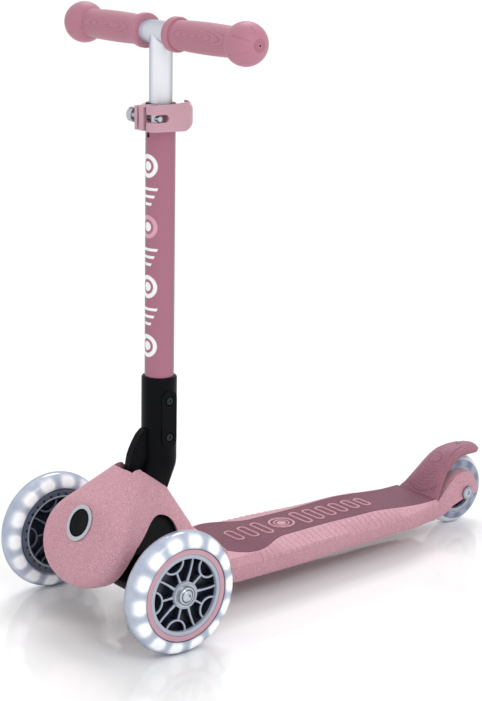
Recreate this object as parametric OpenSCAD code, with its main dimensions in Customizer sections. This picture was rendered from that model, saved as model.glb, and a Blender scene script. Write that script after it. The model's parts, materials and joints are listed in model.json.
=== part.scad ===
// Three-wheel folding kick scooter for small children.
// The front points to -Y, +Z is up, and the origin is on the floor under the middle of the scooter.
// Modules are drawn from the front axle: place() moves them to the origin.

/* [Layout] */
// Front axle to rear axle
wheelbase = 452; // [420:1:490]
// Middle plane of one front wheel to the other
track = 217.6; // [210:0.2:230]
// Height of the handlebar's axis above the floor
bar_height = 566; // [540:1:600]
// Handlebar from ball centre to ball centre
bar_span = 257.4; // [246:0.2:280]
// How far the column leans back from upright, in degrees
column_lean = 1.13; // [0:0.01:3]

/* [Front wheels] */
// Outer diameter of a front wheel
front_wheel_d = 120; // [110:1:124]
// Width of the tyres
tyre_w = 24; // [22:0.5:26]
// Width of a wheel core over its rims
core_w = 22; // [20:0.5:23]
// Diameter of the tyre's seat on the core
front_seat_d = 88; // [84:1:92]
// Width of the pink ring, measured along the radius
ring_w = 4.4; // [3:0.1:5]
// Thickness of the pink ring
ring_t = 2.2; // [1.5:0.1:3]
// Number of petals and of straight spokes
petals = 5; // [4:1:6]
// Thickness of spokes and petals
spoke_t = 2; // [1.5:0.1:2.6]
// Outer diameter of the wheel hubs
hub_d = 26.4; // [25:0.2:30]
// Number of lights in a front wheel
light_count = 14; // [10:1:16]

/* [Rear wheel] */
// Outer diameter of the rear wheel
rear_wheel_d = 80; // [76:1:84]
// Diameter of the rear tyre's seat
rear_seat_d = 52; // [48:1:56]

/* [Bearings and axles] */
// Outer diameter of a bearing
bearing_d = 22; // [19:1:24]
// Width of a bearing
bearing_w = 7; // [6:1:8]
// Diameter of the wheel axles
axle_d = 8; // [6:1:8]
// Diameter of an axle bolt's head
axle_head_d = 14.4; // [13:0.2:16]
// Radial clearance of a running fit
run_gap = 0.05; // [0.03:0.01:0.1]
// Gap between pieces that are screwed or moulded together
seat_gap = 0.1; // [0.05:0.05:0.3]
// Gap between pieces that move past each other
move_gap = 0.4; // [0.3:0.1:0.8]

/* [Deck] */
// Full width of the deck near the front
deck_w_front = 112; // [100:1:124]
// Full width of the deck at its waist
deck_w_waist = 102; // [90:1:112]
// Full width of the deck ahead of the rear wheel
deck_w_rear = 84; // [76:1:92]
// Width of the grip pad near the front
mat_w_front = 96.8; // [84:0.2:98]
// Width of the grip pad at its waist
mat_w_waist = 56.6; // [50:0.2:64]
// Width of the grip pad at its rear end
mat_w_rear = 62; // [56:1:66]
// Height of the deck's top above the floor
deck_top = 50.5; // [48:0.5:56]
// Height of the deck's underside above the floor
deck_bottom = 24; // [20:0.5:28]
// How far the deck's top dips at the rear
rear_dip = 6.5; // [4:0.5:8]
// Drop of the ribbed margin from the pad to the deck's side
margin_drop = 7; // [5:0.5:9]
// Pitch of the ribs on the margin
rib_pitch = 7.5; // [6:0.5:10]
// Height of a rib
rib_h = 0.9; // [0.4:0.1:1.4]
// Wall thickness of the deck moulding
deck_wall = 3.2; // [2.5:0.1:4]
// Thickness of the grip pad
mat_t = 2; // [1.5:0.1:2.6]
// Thickness of a rear fork arm
arm_t = 12.2; // [10:0.2:13]

/* [Nose] */
// Half height of the rounded front shield, along its slope
shield_r = 46.7; // [44:0.1:49]
// Rounding of the shield's rim
shield_round = 16; // [13:0.5:18]
// Full width of the shield
shield_w = 127; // [118:1:130]
// How far the shield leans back, in degrees
shield_tilt = 28; // [24:0.5:31]
// Wall thickness of the nose moulding
nose_wall = 3; // [2.4:0.1:3.6]
// Diameter of the button's pale ring
bezel_d = 36; // [34:0.5:40]
// Diameter of the front button
button_d = 27; // [24:0.5:29]
// Travel of the front button
button_travel = 3.5; // [2:0.1:4]

/* [Steering] */
// Slope of the kingpin from upright, in degrees
kingpin_slope = 50; // [46:0.5:54]
// Diameter of the kingpin
kingpin_d = 8; // [7:0.5:9]
// Half length of the barrel that turns on the kingpin
barrel_half = 17; // [16:0.5:17.5]
// Diameter of the barrel
barrel_d = 26; // [24:0.5:27]

/* [Fold] */
// Height of the fold pin above the floor
fold_z = 117; // [115:0.5:119]
// Fold pin behind the front axle
fold_y = 33; // [31:0.5:35]
// Radius of the stem's hub round the fold pin
fold_hub_r = 20; // [18:0.5:21]
// Width of the stem's hub
fold_hub_w = 30; // [28:0.5:31]
// Diameter of the fold pin
fold_pin_d = 8; // [7:0.5:9]

/* [Column] */
// Outer diameter of the outer tube
outer_d = 28.6; // [27:0.1:30]
// Wall of the outer tube
outer_wall = 1.5; // [1.2:0.1:1.8]
// Diameter of the inner tube and the handlebar
inner_d = 22; // [20:0.5:22.5]
// Wall of the inner tube
inner_wall = 1.6; // [1.2:0.1:2]
// Diameter of the stem's sleeve
sleeve_d = 34.6; // [33.6:0.2:37]
// Height of the sleeve's rim above the floor
sleeve_top = 237; // [225:1:245]
// Height of the clamp's lower edge above the floor
clamp_z = 477; // [450:1:485]
// Height of the clamp
clamp_h = 24.5; // [22:0.5:26]
// Outer diameter of the clamp's collar
collar_d = 35; // [34:0.5:37]

/* [Grips] */
// Diameter of the ball at a grip's end
ball_d = 40; // [36:0.5:42]
// Diameter of a grip's flange
flange_d = 33; // [31:0.5:35]
// Diameter of a grip where it is held
grip_d = 29.4; // [27:0.2:30]
// Clear length of bar between the two flanges
flange_gap = 43; // [38:1:50]

/* [Brake] */
// Width of the brake where it leaves the deck
brake_w = 60; // [54:1:62]
// Thickness of the brake
brake_t = 3; // [2.4:0.1:3.2]
// Gap between the brake and the wheel's tread
brake_gap = 6.9; // [6.8:0.1:8]

/* [Hidden] */
$fn = 64;

pink = "#c896a4";
mauve = "#96687a";
tube_pink = "#b37a8c";
silver = "#d8dce2";
black = "#17181b";
grey = "#7d8794";
clear_tyre = "#e2e9f2";

front_r = front_wheel_d / 2;
rear_r = rear_wheel_d / 2;
half_track = track / 2;
rear_y = wheelbase;
front_axle_y = -(wheelbase + rear_r - front_r) / 2;
tyre_round = tyre_w / 2;
front_seat_r = front_seat_d / 2;
rear_seat_r = rear_seat_d / 2;
axle_r = axle_d / 2;
bearing_r = bearing_d / 2;
eps = 0.01;

// ---- smooth curves through a few stations: each row is [place, value]
function ease(t) = t * t * (3 - 2 * t);
function along(rows, y, i = 0) =
    y <= rows[0][0] ? rows[0][1] :
    i >= len(rows) - 1 ? rows[len(rows) - 1][1] :
    y <= rows[i + 1][0] ?
        rows[i][1] + (rows[i + 1][1] - rows[i][1]) * ease((y - rows[i][0]) / (rows[i + 1][0] - rows[i][0])) :
    along(rows, y, i + 1);

// ---- a closed skin over rings that all have the same number of points
// cap splits an end that isn't convex into faces, counted round the ring
module loft(rings, cap = []) {
    n = len(rings[0]);
    m = len(rings);
    faces = len(cap) > 0 ? cap : [[for (i = [0 : n - 1]) i]];
    points = [for (ring = rings) for (p = ring) p];
    sides = [for (j = [0 : m - 2]) for (i = [0 : n - 1]) let (a = j * n + i, b = j * n + (i + 1) % n)
        each [[a, b, a + n], [b, b + n, a + n]]];
    start = [for (face = faces) [for (i = [len(face) - 1 : -1 : 0]) face[i]]];
    end = [for (face = faces) [for (i = face) (m - 1) * n + i]];
    polyhedron(points = points, faces = concat(sides, start, end), convexity = 6);
}

// ---- frames
module place() {
    translate([0, front_axle_y, 0])
        children();
}

module across(x0, x1) {
    translate([x0, 0, 0])
        rotate([90, 0, 90])
            linear_extrude(x1 - x0)
                children();
}

module x_cylinder(x0, x1, r) {
    translate([x0, 0, 0])
        rotate([0, 90, 0])
            cylinder(h = x1 - x0, r = r);
}

// a ring profile turned about the X axis: the profile's x is the radius and its y runs along +X
module x_turned() {
    rotate([90, 0, 90])
        rotate_extrude()
            children();
}

// ---- wheels: built round the origin, axis along X, outer face to +X
half_core = core_w / 2;
hub_r = hub_d / 2;
rim_in = 4;

module tyre_shape(r, seat_r) {
    x_turned()
        difference() {
            union() {
                translate([r - tyre_round, 0])
                    circle(r = tyre_round);
                translate([seat_r + seat_gap, -tyre_round + 1])
                    square([r - tyre_round - seat_r, tyre_w - 2]);
            }
            translate([0, -tyre_w])
                square([seat_r + seat_gap, 2 * tyre_w]);
            translate([0, half_core - ring_t - seat_gap])
                square([seat_r + 1.5 + seat_gap, tyre_w]);
            translate([0, -tyre_w - half_core + ring_t + seat_gap])
                square([seat_r + 1.5 + seat_gap, tyre_w]);
            translate([0, -key_w / 2 - seat_gap])
                square([seat_r + key_h + seat_gap, key_w + 2 * seat_gap]);
        }
}

// the key is the core's rib that holds the tyre sideways
key_h = 3;
key_w = 8;

module bearing_bores() {
    x_cylinder(half_core - bearing_w, half_core + 1, bearing_r + seat_gap / 2);
    x_cylinder(-half_core - 1, -half_core + bearing_w, bearing_r + seat_gap / 2);
    x_cylinder(-half_core - 1, half_core + 1, bearing_r - 2);
}

module web_pattern(r) {
    petal_r = r * 0.27;
    for (i = [0 : petals - 1]) {
        rotate(i * 360 / petals) {
            // petal: an arch that opens to the rim, tied to the hub by a short spoke
            intersection() {
                circle(r = r + 0.5);
                difference() {
                    union() {
                        translate([r - petal_r, 0])
                            circle(r = petal_r);
                        translate([r - petal_r, -petal_r])
                            square([petal_r + 2, 2 * petal_r]);
                    }
                    translate([r - petal_r, 0])
                        circle(r = petal_r - spoke_t);
                    translate([r - petal_r, -petal_r + spoke_t])
                        square([petal_r + 2, 2 * (petal_r - spoke_t)]);
                }
            }
            translate([hub_r - 1, -spoke_t / 2])
                square([r - 2 * petal_r - hub_r + 2, spoke_t]);
        }
        rotate((i + 0.5) * 360 / petals)
            translate([hub_r - 1, -spoke_t / 2])
                square([r - hub_r + 1.5, spoke_t]);
    }
}

module front_core_shape() {
    rim_r = front_seat_r - ring_w - rim_in;
    difference() {
        union() {
            // rim, with the key that the tyre is moulded round
            x_turned() {
                translate([rim_r, -half_core])
                    square([front_seat_r - rim_r, core_w - ring_t]);
                translate([rim_r, half_core - ring_t - 1])
                    square([rim_in, ring_t + 1]);
                translate([front_seat_r - 1, -key_w / 2])
                    square([key_h + 1, key_w]);
            }
            // hub
            x_cylinder(-half_core, half_core, hub_r);
            // dark web behind the petals
            x_cylinder(-2.5, 0, rim_r + 1);
            // petals and spokes, both sides of the web
            across(-half_core + 3, half_core - 2)
                web_pattern(rim_r);
        }
        bearing_bores();
        // light pockets round the rim
        for (i = [0 : light_count - 1])
            rotate([(i + 0.5) * 360 / light_count, 0, 0])
                translate([0, 0, front_seat_r + key_h - light_h])
                    cylinder(h = light_h + 1, r = light_r + seat_gap);
    }
}

light_r = 2.6;
light_h = 2.4;

module lights_shape() {
    for (i = [0 : light_count - 1])
        rotate([(i + 0.5) * 360 / light_count, 0, 0])
            translate([0, 0, front_seat_r + key_h - light_h])
                cylinder(h = light_h, r = light_r);
}

module ring_shape() {
    x_turned()
        translate([front_seat_r - ring_w + seat_gap, half_core - ring_t + seat_gap])
            square([ring_w + 1.5 - 2 * seat_gap, ring_t]);
}

module rear_core_shape() {
    rim_r = rear_seat_r - 4;
    difference() {
        union() {
            x_turned() {
                translate([rim_r, -half_core])
                    square([rear_seat_r - rim_r, core_w]);
                translate([rear_seat_r - 1, -key_w / 2])
                    square([key_h + 1, key_w]);
            }
            x_cylinder(-half_core, half_core, hub_r);
            x_cylinder(-2, 0, rim_r + 1);
            across(-half_core + 2, half_core - 2)
                for (i = [0 : petals - 1])
                    rotate((i + 0.5) * 360 / petals)
                        translate([hub_r - 1, -spoke_t / 2])
                            square([rim_r - hub_r + 2, spoke_t]);
        }
        bearing_bores();
    }
}

module rear_tyre_shape() {
    x_turned()
        difference() {
            union() {
                translate([rear_r - tyre_round, 0])
                    circle(r = tyre_round);
                translate([rear_seat_r + seat_gap, -half_core])
                    square([rear_r - tyre_round - rear_seat_r, core_w]);
            }
            translate([0, -tyre_w])
                square([rear_seat_r + seat_gap, 2 * tyre_w]);
            translate([0, -key_w / 2 - seat_gap])
                square([rear_seat_r + key_h + seat_gap, key_w + 2 * seat_gap]);
        }
}

module bearing_pair_shape() {
    for (s = [-1, 1])
        scale([s, 1, 1])
            x_turned()
                difference() {
                    translate([axle_r + run_gap, half_core - bearing_w + seat_gap / 2])
                        square([bearing_r - axle_r - run_gap, bearing_w - seat_gap]);
                    // recessed seal between the two races
                    translate([axle_r + 2.2, half_core - 0.6])
                        square([bearing_r - axle_r - 4.4, 1]);
                }
}

module inner_spacer_shape() {
    half = half_core - bearing_w - seat_gap;
    x_turned()
        translate([axle_r + seat_gap, -half])
            square([2, 2 * half]);
}

// ---- front wheel sets: s is 1 on the left (+X) and -1 on the right
module left_wheel_place() {
    place()
        translate([half_track, 0, front_r])
            children();
}

module right_wheel_place() {
    place()
        translate([-half_track, 0, front_r])
            rotate([0, 0, 180])
                children();
}

module rear_wheel_place() {
    place()
        translate([0, rear_y, rear_r])
            children();
}

washer_t = 1.4;
outer_face = half_core + seat_gap;

module front_bolt_shape() {
    head_h = 2.6;
    difference() {
        union() {
            x_cylinder(-half_core - boss_gap - bolt_in_boss, outer_face + washer_t + seat_gap, axle_r);
            // button head with a rounded rim
            x_turned()
                translate([0, outer_face + washer_t + seat_gap])
                    intersection() {
                        square([axle_head_d / 2, head_h]);
                        translate([0, head_h - 9])
                            circle(r = 9.6);
                    }
        }
        // hexagon socket
        translate([outer_face + washer_t + seat_gap + 0.8, 0, 0])
            rotate([0, 90, 0])
                cylinder(h = 5, r = 2.9, $fn = 6);
    }
}

// distance from the core's inner face to the frame's axle boss, and the bolt's depth in that boss
boss_gap = 2.4;
bolt_in_boss = 24;

module washers_shape() {
    x_turned() {
        translate([axle_r + seat_gap, outer_face])
            square([9.5 - axle_r - seat_gap, washer_t]);
        translate([axle_r + seat_gap, -half_core - boss_gap + seat_gap])
            square([2.4, boss_gap - 2 * seat_gap]);
    }
}

// ---- front axle frame
module kingpin_frame() {
    translate([0, kingpin_y, kingpin_z])
        rotate([kingpin_slope, 0, 0])
            children();
}

kingpin_y = 4;
kingpin_z = front_r - 3;
boss_x = half_track - half_core - boss_gap;
wing_x0 = 26;
wing_x1 = 60;
kingpin_bore_r = kingpin_d / 2 + run_gap;
boss_r = 13;

module disc_at(y, z, r) {
    translate([y, z])
        circle(r = r, $fn = 40);
}

module wing_profile(inset) {
    hull() {
        disc_at(-9.5, front_r - 5, 11.5 - inset);
        disc_at(15, front_r + 5, 11 - inset);
        disc_at(8, front_r - 3, 14 - inset);
    }
}

module beam_profile() {
    hull() {
        disc_at(-8, front_r - 6, 11);
        disc_at(10, front_r - 4, 12);
    }
}

module truck_arm() {
    across(wing_x0, wing_x1)
        wing_profile(0);
    // taper from the wing to the axle boss
    hull() {
        across(wing_x1 - 2, wing_x1)
            wing_profile(0.3);
        translate([0, 0, front_r])
            x_cylinder(boss_x - 12, boss_x - 4, boss_r);
    }
    translate([0, 0, front_r])
        x_cylinder(boss_x - 14, boss_x, boss_r);
}

module truck_frame() {
    color(black)
        place()
            difference() {
                union() {
                    kingpin_frame()
                        cylinder(h = 2 * barrel_half, r = barrel_d / 2, center = true);
                    intersection() {
                        across(-wing_x0 - 1, wing_x0 + 1)
                            beam_profile();
                        kingpin_frame()
                            cube([200, 200, 2 * barrel_half - 2], center = true);
                    }
                    truck_arm();
                    mirror([1, 0, 0])
                        truck_arm();
                }
                kingpin_frame()
                    cylinder(h = 4 * barrel_half, r = kingpin_bore_r, center = true);
                for (s = [-1, 1])
                    translate([0, 0, front_r])
                        x_cylinder(s > 0 ? boss_x - bolt_in_boss : -boss_x - 1,
                            s > 0 ? boss_x + 1 : -boss_x + bolt_in_boss, axle_r + seat_gap);
            }
}

bush_t = 2;

module steer_bushes() {
    color(black)
        place()
            kingpin_frame()
                for (s = [-1, 1])
                    translate([0, 0, s * (barrel_half + bush_t / 2)])
                        difference() {
                            cylinder(h = bush_t - 2 * seat_gap, r = barrel_d / 2 - 2, center = true);
                            cylinder(h = bush_t + 2, r = kingpin_bore_r, center = true);
                        }
}

// bosses that hold the kingpin's ends start here, measured from its middle
boss_start = barrel_half + bush_t + move_gap;
boss_len = 9;
kingpin_head_h = 4;

module kingpin() {
    low_end = -boss_start - boss_len - seat_gap;
    color(silver)
        place()
            kingpin_frame() {
                translate([0, 0, low_end])
                    cylinder(h = -low_end + boss_start + boss_len + 5, r = kingpin_d / 2);
                translate([0, 0, low_end - kingpin_head_h])
                    cylinder(h = kingpin_head_h, r = 7.4, $fn = 6);
            }
}

nut_t = 5;

module kingpin_nut() {
    color(silver)
        place()
            kingpin_frame()
                translate([0, 0, boss_start + boss_len + seat_gap])
                    difference() {
                        cylinder(h = nut_t, r = 7.2, $fn = 6);
                        translate([0, 0, -1])
                            cylinder(h = nut_t + 2, r = kingpin_d / 2 + seat_gap);
                    }
}

// ---- nose
face_cos = cos(shield_tilt);
face_sin = sin(shield_tilt);
shield_y = -29.5;
shield_z = front_r + 27.4;
rise = 12;
face_y = shield_y - shield_round * face_cos + rise * face_sin;
face_z = shield_z + shield_round * face_sin + rise * face_cos;

module button_frame() {
    translate([0, face_y, face_z])
        rotate([90 - shield_tilt, 0, 0])
            children();
}

module ball_pair(x, y, z, r) {
    for (s = [-1, 1])
        translate([s * x, y, z])
            sphere(r = r, $fn = 28);
}

// outer form of the nose, or with an inset its hollow
module nose_form(inset) {
    hull() {
        translate([0, shield_y, shield_z])
            rotate([90 - shield_tilt, 0, 0])
                scale([(shield_w / 2 - inset) / (shield_r - inset), 1, 1])
                    rotate_extrude($fn = 44)
                        translate([shield_r - shield_round, 0])
                            circle(r = shield_round - inset, $fn = 24);
        ball_pair(12, crest_y, crest_z, 12 - inset);
        ball_pair(13, crest_y + 24, crest_z - 19, 12 - inset);
        ball_pair(26, 60, deck_top + 34, 13 - inset);
        ball_pair(38, 52, deck_top + 6, 13 - inset);
    }
    hull() {
        ball_pair(26, 60, deck_top + 30, 13 - inset);
        ball_pair(38, 58, deck_top + 2, 12 - inset);
        ball_pair(34, 104, deck_top, 8 - inset);
    }
}

crest_y = 19;
crest_z = fold_z + 23;
slot_half = fold_hub_w / 2 + move_gap;
neck_half = sleeve_d / 2 + 0.5;
cheek_t = 4;
nose_rear = 118;

// side opening that the axle frame passes through
module arch_profile() {
    polygon([
        [-34, 0], [-34, 52], [-31, 62], [-27.5, 73], [-22.6, 82], [-14.8, 90.8], [-4, 97], [6, 103], [13, 107.2],
        [19, 109.9], [25.3, 110.9], [30.7, 110.1], [35.6, 108.1], [40.5, 105], [44.5, 100.5], [46.5, 95], [48, 86],
        [50, 70], [50, 0]
    ]);
}

// open channel behind the stem, where it lies when folded
trough_half = sleeve_d / 2 + 2;
trough_z = fold_z - 41;
channel_y = fold_y + fold_hub_r + 1;

// everything that stands inside the nose's shell
module nose_inside() {
    // plates on both sides of the stem's hub
    for (s = [-1, 1])
        translate([s * (slot_half + cheek_t / 2), 0, 0])
            across(-cheek_t / 2, cheek_t / 2)
                translate([fold_y - 26, fold_z - fold_hub_r - 7])
                    square([70, 100]);
    translate([-trough_half - nose_wall, channel_y, trough_z - nose_wall])
        cube([2 * (trough_half + nose_wall), 100, 100]);
    // boss for the kingpin's upper end
    kingpin_frame()
        translate([0, 0, boss_start])
            cylinder(h = 60, r = 9);
    // screw posts
    for (s = [-1, 1])
        translate([s * 44 - 14, screw_y - 5, deck_top - 1])
            cube([28, 10, 13]);
}

module nose_housing() {
    color(pink)
        place()
            difference() {
                nose_form(0);
                difference() {
                    nose_form(nose_wall);
                    nose_inside();
                }
                // slot for the stem's hub
                translate([-slot_half, fold_y - fold_hub_r - move_gap, fold_z - fold_hub_r - 1])
                    cube([2 * slot_half, 60, 100]);
                translate([-trough_half, channel_y + nose_wall, trough_z])
                    cube([2 * trough_half, 100, 100]);
                // the neck widens beyond the hub, upright and folded
                difference() {
                    translate([-neck_half, fold_y - 10, fold_z - 34])
                        cube([2 * neck_half, 60, 100]);
                    translate([0, fold_y, fold_z])
                        x_cylinder(-30, 30, fold_hub_r - 4);
                }
                // notch that the fin's foot drops into
                translate([0, crest_y, crest_z + 12])
                    x_cylinder(-fin_half - move_gap, fin_half + move_gap, 7);
                // side arches, open below
                for (s = [-1, 1])
                    scale([s, 1, 1])
                        across(slot_half + cheek_t + 1, 90)
                            arch_profile();
                across(-30, 30)
                    polygon([[-60, 0], [-60, 44], [-25, 44], [-21.5, 50], [-13, 53], [48, 53], [48, 0]]);
                // seat on the deck
                translate([-100, deck_front - 2, -1])
                    cube([200, 200, deck_top + 1]);
                // button bore
                button_frame()
                    translate([0, 0, -30])
                        cylinder(h = 60, r = bezel_d / 2 - 2);
                // fold pin, and room for its head and nut
                translate([0, fold_y, fold_z]) {
                    x_cylinder(-slot_half - cheek_t - 1, slot_half + cheek_t + 1, fold_pin_d / 2 + run_gap);
                    x_cylinder(slot_half + cheek_t, slot_half + cheek_t + 4, 7.5);
                    x_cylinder(-slot_half - cheek_t - nut_t - 2, -slot_half - cheek_t, 8);
                }
                kingpin_frame() {
                    cylinder(h = 60, r = kingpin_bore_r);
                    translate([0, 0, boss_start + boss_len])
                        cylinder(h = nut_t + 2, r = 7.6);
                }
                // screw bores
                for (s = [-1, 1])
                    translate([s * screw_x, screw_y, 0])
                        cylinder(h = deck_top + 9, r = 1.6);
            }
}

screw_x = 35;
screw_y = 66;
liner_low = 84;

// dark linings that close the side arches above the axle frame, held behind the shell
module arch_liners() {
    color(black)
        place()
            intersection() {
                difference() {
                    nose_form(nose_wall + move_gap);
                    nose_form(nose_wall + move_gap + liner_t);
                }
                for (s = [-1, 1])
                    scale([s, 1, 1])
                        across(trough_half + nose_wall + 1, 90)
                            polygon([
                                [-24, liner_low], [-16, 94], [-4, 101], [12, 111], [25, 114.5], [37, 112],
                                [47, 105], [52, 94], [53, liner_low]
                            ]);
            }
}

liner_t = 3;

module housing_screws() {
    color(silver)
        place()
            for (s = [-1, 1])
                translate([s * screw_x, screw_y, deck_top - mat_t - deck_wall]) {
                    translate([0, 0, -1])
                        cylinder(h = deck_wall + mat_t + 9, r = 1.5);
                    translate([0, 0, -2.2])
                        cylinder(h = 2.1, r = 3.6);
                }
}

module fold_pin() {
    half = slot_half + cheek_t;
    color(silver)
        place()
            translate([0, fold_y, fold_z]) {
                x_cylinder(-half - nut_t - 1, half + seat_gap, fold_pin_d / 2);
                x_cylinder(half + seat_gap, half + 3, 6.5);
            }
}

module fold_pin_nut() {
    half = slot_half + cheek_t;
    color(silver)
        place()
            translate([-half - seat_gap - nut_t, fold_y, fold_z])
                difference() {
                    rotate([0, 90, 0])
                        cylinder(h = nut_t, r = 7, $fn = 6);
                    x_cylinder(-1, nut_t + 1, fold_pin_d / 2 + seat_gap);
                }
}

// ---- front button
bezel_wall = 1.9;

module button_bezel() {
    color("#c9ccd4")
        place()
            button_frame()
                difference() {
                    union() {
                        translate([0, 0, seat_gap])
                            cylinder(h = 1.3, r = bezel_d / 2);
                        translate([0, 0, -11])
                            cylinder(h = 11.2, r = bezel_d / 2 - 2 - seat_gap);
                    }
                    translate([0, 0, -9])
                        cylinder(h = 20, r = button_d / 2 + move_gap);
                    translate([0, 0, -12])
                        cylinder(h = 20, r = rod_r + move_gap);
                }
}

rod_r = 4;
rod_len = 62;

module front_button() {
    color(black)
        place()
            button_frame() {
                difference() {
                    translate([0, 0, -4.4])
                        cylinder(h = 4.8, r = button_d / 2);
                    // shallow dish
                    translate([0, 0, 60.1])
                        sphere(r = 60);
                }
                translate([0, 0, -rod_len])
                    cylinder(h = rod_len - 4, r = rod_r);
            }
}

latch_half = 4.5;

module fold_latch() {
    tooth_a = 60;
    color(grey)
        place()
            difference() {
                across(-latch_half, latch_half)
                    difference() {
                        polygon([
                            [14, 71], [24, 63], [31, 62], [fold_y + 11.5, fold_z - 26], [fold_y + 13, fold_z - 14.5],
                            [fold_y + 8.5, fold_z - 16.5], [fold_y + 6, fold_z - 24], [24, 74], [15, 78]
                        ]);
                        translate([fold_y, fold_z])
                            circle(r = fold_hub_r - 4);
                    }
                button_frame()
                    translate([0, 0, -rod_len - 20])
                        cylinder(h = 100, r = rod_r + run_gap);
            }
}

module button_spring() {
    color(silver)
        place()
            button_frame()
                for (i = [0 : 4])
                    translate([0, 0, -13 - 2.6 * i])
                        rotate_extrude($fn = 32)
                            translate([rod_r + 1.6, 0])
                                circle(r = 0.6, $fn = 8);
}

// ---- stem
module column() {
    translate([0, fold_y + column_offset, fold_z])
        rotate([-column_lean, 0, 0])
            children();
}

column_offset = 21.4;
upright = cos(column_lean);
sleeve_top_l = (sleeve_top - fold_z) / upright;
sleeve_low_l = 36;
tube_low_l = sleeve_low_l + 17;
clamp_l = (clamp_z - fold_z) / upright;
bar_l = (bar_height - fold_z) / upright;
outer_top_l = clamp_l + clamp_h - 2;
outer_r = outer_d / 2;
outer_in_r = outer_r - outer_wall;
inner_r = inner_d / 2;
fin_half = 4;
screw_l = [61, 97.5];
pad_half = sleeve_d / 2 + 0.6;

module fin_profile() {
    difference() {
        polygon([
            [fold_y + 14, fold_z + 70], [fold_y + 3, fold_z + 69], [fold_y - 2.5, fold_z + 64.5],
            [fold_y - 7, fold_z + 58], [fold_y - 10.8, fold_z + 51.3], [fold_y - 13.4, fold_z + 45.3],
            [fold_y - 14.8, fold_z + 39], [fold_y - 15.5, fold_z + 35], [fold_y - 19, fold_z + 8],
            [fold_y + 14, fold_z + 4]
        ]);
    }
}

module stem_knuckle() {
    color(black)
        place()
            difference() {
                union() {
                    translate([0, fold_y, fold_z])
                        x_cylinder(-fold_hub_w / 2, fold_hub_w / 2, fold_hub_r);
                    // neck from the hub up to the sleeve
                    hull() {
                        translate([0, fold_y + 4, fold_z + 4])
                            x_cylinder(1.5 - fold_hub_w / 2, fold_hub_w / 2 - 1.5, 15);
                        column()
                            translate([0, 0, sleeve_low_l - 2])
                                sphere(r = sleeve_d / 2 - 0.2, $fn = 32);
                    }
                    across(-fin_half, fin_half)
                        fin_profile();
                    column() {
                        translate([0, 0, sleeve_low_l])
                            cylinder(h = sleeve_top_l - sleeve_low_l - 2, r = sleeve_d / 2);
                        // rounded rim
                        translate([0, 0, sleeve_top_l - 2])
                            rotate_extrude()
                                translate([sleeve_d / 2 - 2, 0])
                                    circle(r = 2, $fn = 24);
                        translate([0, 0, sleeve_top_l - 2.5])
                            cylinder(h = 2.5, r = sleeve_d / 2 - 2);
                        // flat pads on both sides
                        hull()
                            for (l = [screw_l[0] - 2, screw_l[1] + 2])
                                translate([0, 0, l])
                                    x_cylinder(-pad_half, pad_half, 8.5);
                    }
                }
                column() {
                    // tube socket
                    translate([0, 0, tube_low_l - seat_gap])
                        cylinder(h = 200, r = outer_r + seat_gap);
                    // recessed screw seats with their raised eyes
                    for (l = screw_l)
                        translate([pad_half, 0, l]) {
                            x_cylinder(-1.2, 1, 5);
                            x_cylinder(-12, 1, 1.6);
                        }
                }
                translate([0, fold_y, fold_z])
                    x_cylinder(-40, 40, fold_pin_d / 2 + run_gap);
                // groove that the latch runs in
                translate([0, fold_y, fold_z])
                    across(-latch_half - 0.6, latch_half + 0.6)
                        difference() {
                            intersection() {
                                circle(r = fold_hub_r + 9);
                                polygon([[0, 0], [-20, -60], [60, -60], [60, 75]]);
                            }
                            circle(r = fold_hub_r - 5);
                        }
            }
}

module stem_screws() {
    color("#26282c")
        place()
            column()
                for (l = screw_l)
                    translate([pad_half, 0, l])
                        difference() {
                            union() {
                                x_cylinder(-1.1, 0.3, 3.6);
                                x_cylinder(-pad_half + outer_r + seat_gap, -1, 1.5);
                            }
                            translate([-0.5, 0, 0])
                                rotate([0, 90, 0])
                                    cylinder(h = 3, r = 1.7, $fn = 6);
                        }
}

module outer_tube() {
    color(tube_pink)
        place()
            column()
                difference() {
                    translate([0, 0, tube_low_l])
                        cylinder(h = outer_top_l - tube_low_l, r = outer_r);
                    translate([0, 0, tube_low_l - 1])
                        cylinder(h = outer_top_l, r = outer_in_r);
                    // split that lets the clamp close the tube
                    translate([-1.5, -outer_r - 1, clamp_l - 6])
                        cube([3, outer_r, clamp_h + 10]);
                    translate([0, -outer_r + 4, clamp_l - 6])
                        rotate([90, 0, 0])
                            cylinder(h = 10, r = 2.2);
                }
}

bush_len = 30;

module guide_bush() {
    color(black)
        place()
            column()
                translate([0, 0, outer_top_l - bush_len])
                    difference() {
                        union() {
                            cylinder(h = bush_len, r = outer_in_r - seat_gap);
                            translate([0, 0, bush_len + seat_gap])
                                cylinder(h = 1.2, r = outer_r);
                            translate([0, 0, bush_len - 1])
                                cylinder(h = 2, r = outer_in_r - seat_gap);
                        }
                        translate([0, 0, -1])
                            cylinder(h = bush_len + 5, r = inner_r + run_gap);
                        translate([-1, -outer_r - 1, -1])
                            cube([2, outer_r, bush_len + 5]);
                    }
}

// ---- clamp: drawn round the column's axis, from the clamp's lower edge
module clamp_frame() {
    place()
        column()
            translate([0, 0, clamp_l])
                children();
}

ear_y = -19;
ear_x = [-5.5, 9];
pin_x = 17.3;
cam_r = 8;
clamp_bolt_r = 2.5;
lever_in = collar_d / 2 + 2.1;
split = 3;

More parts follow.
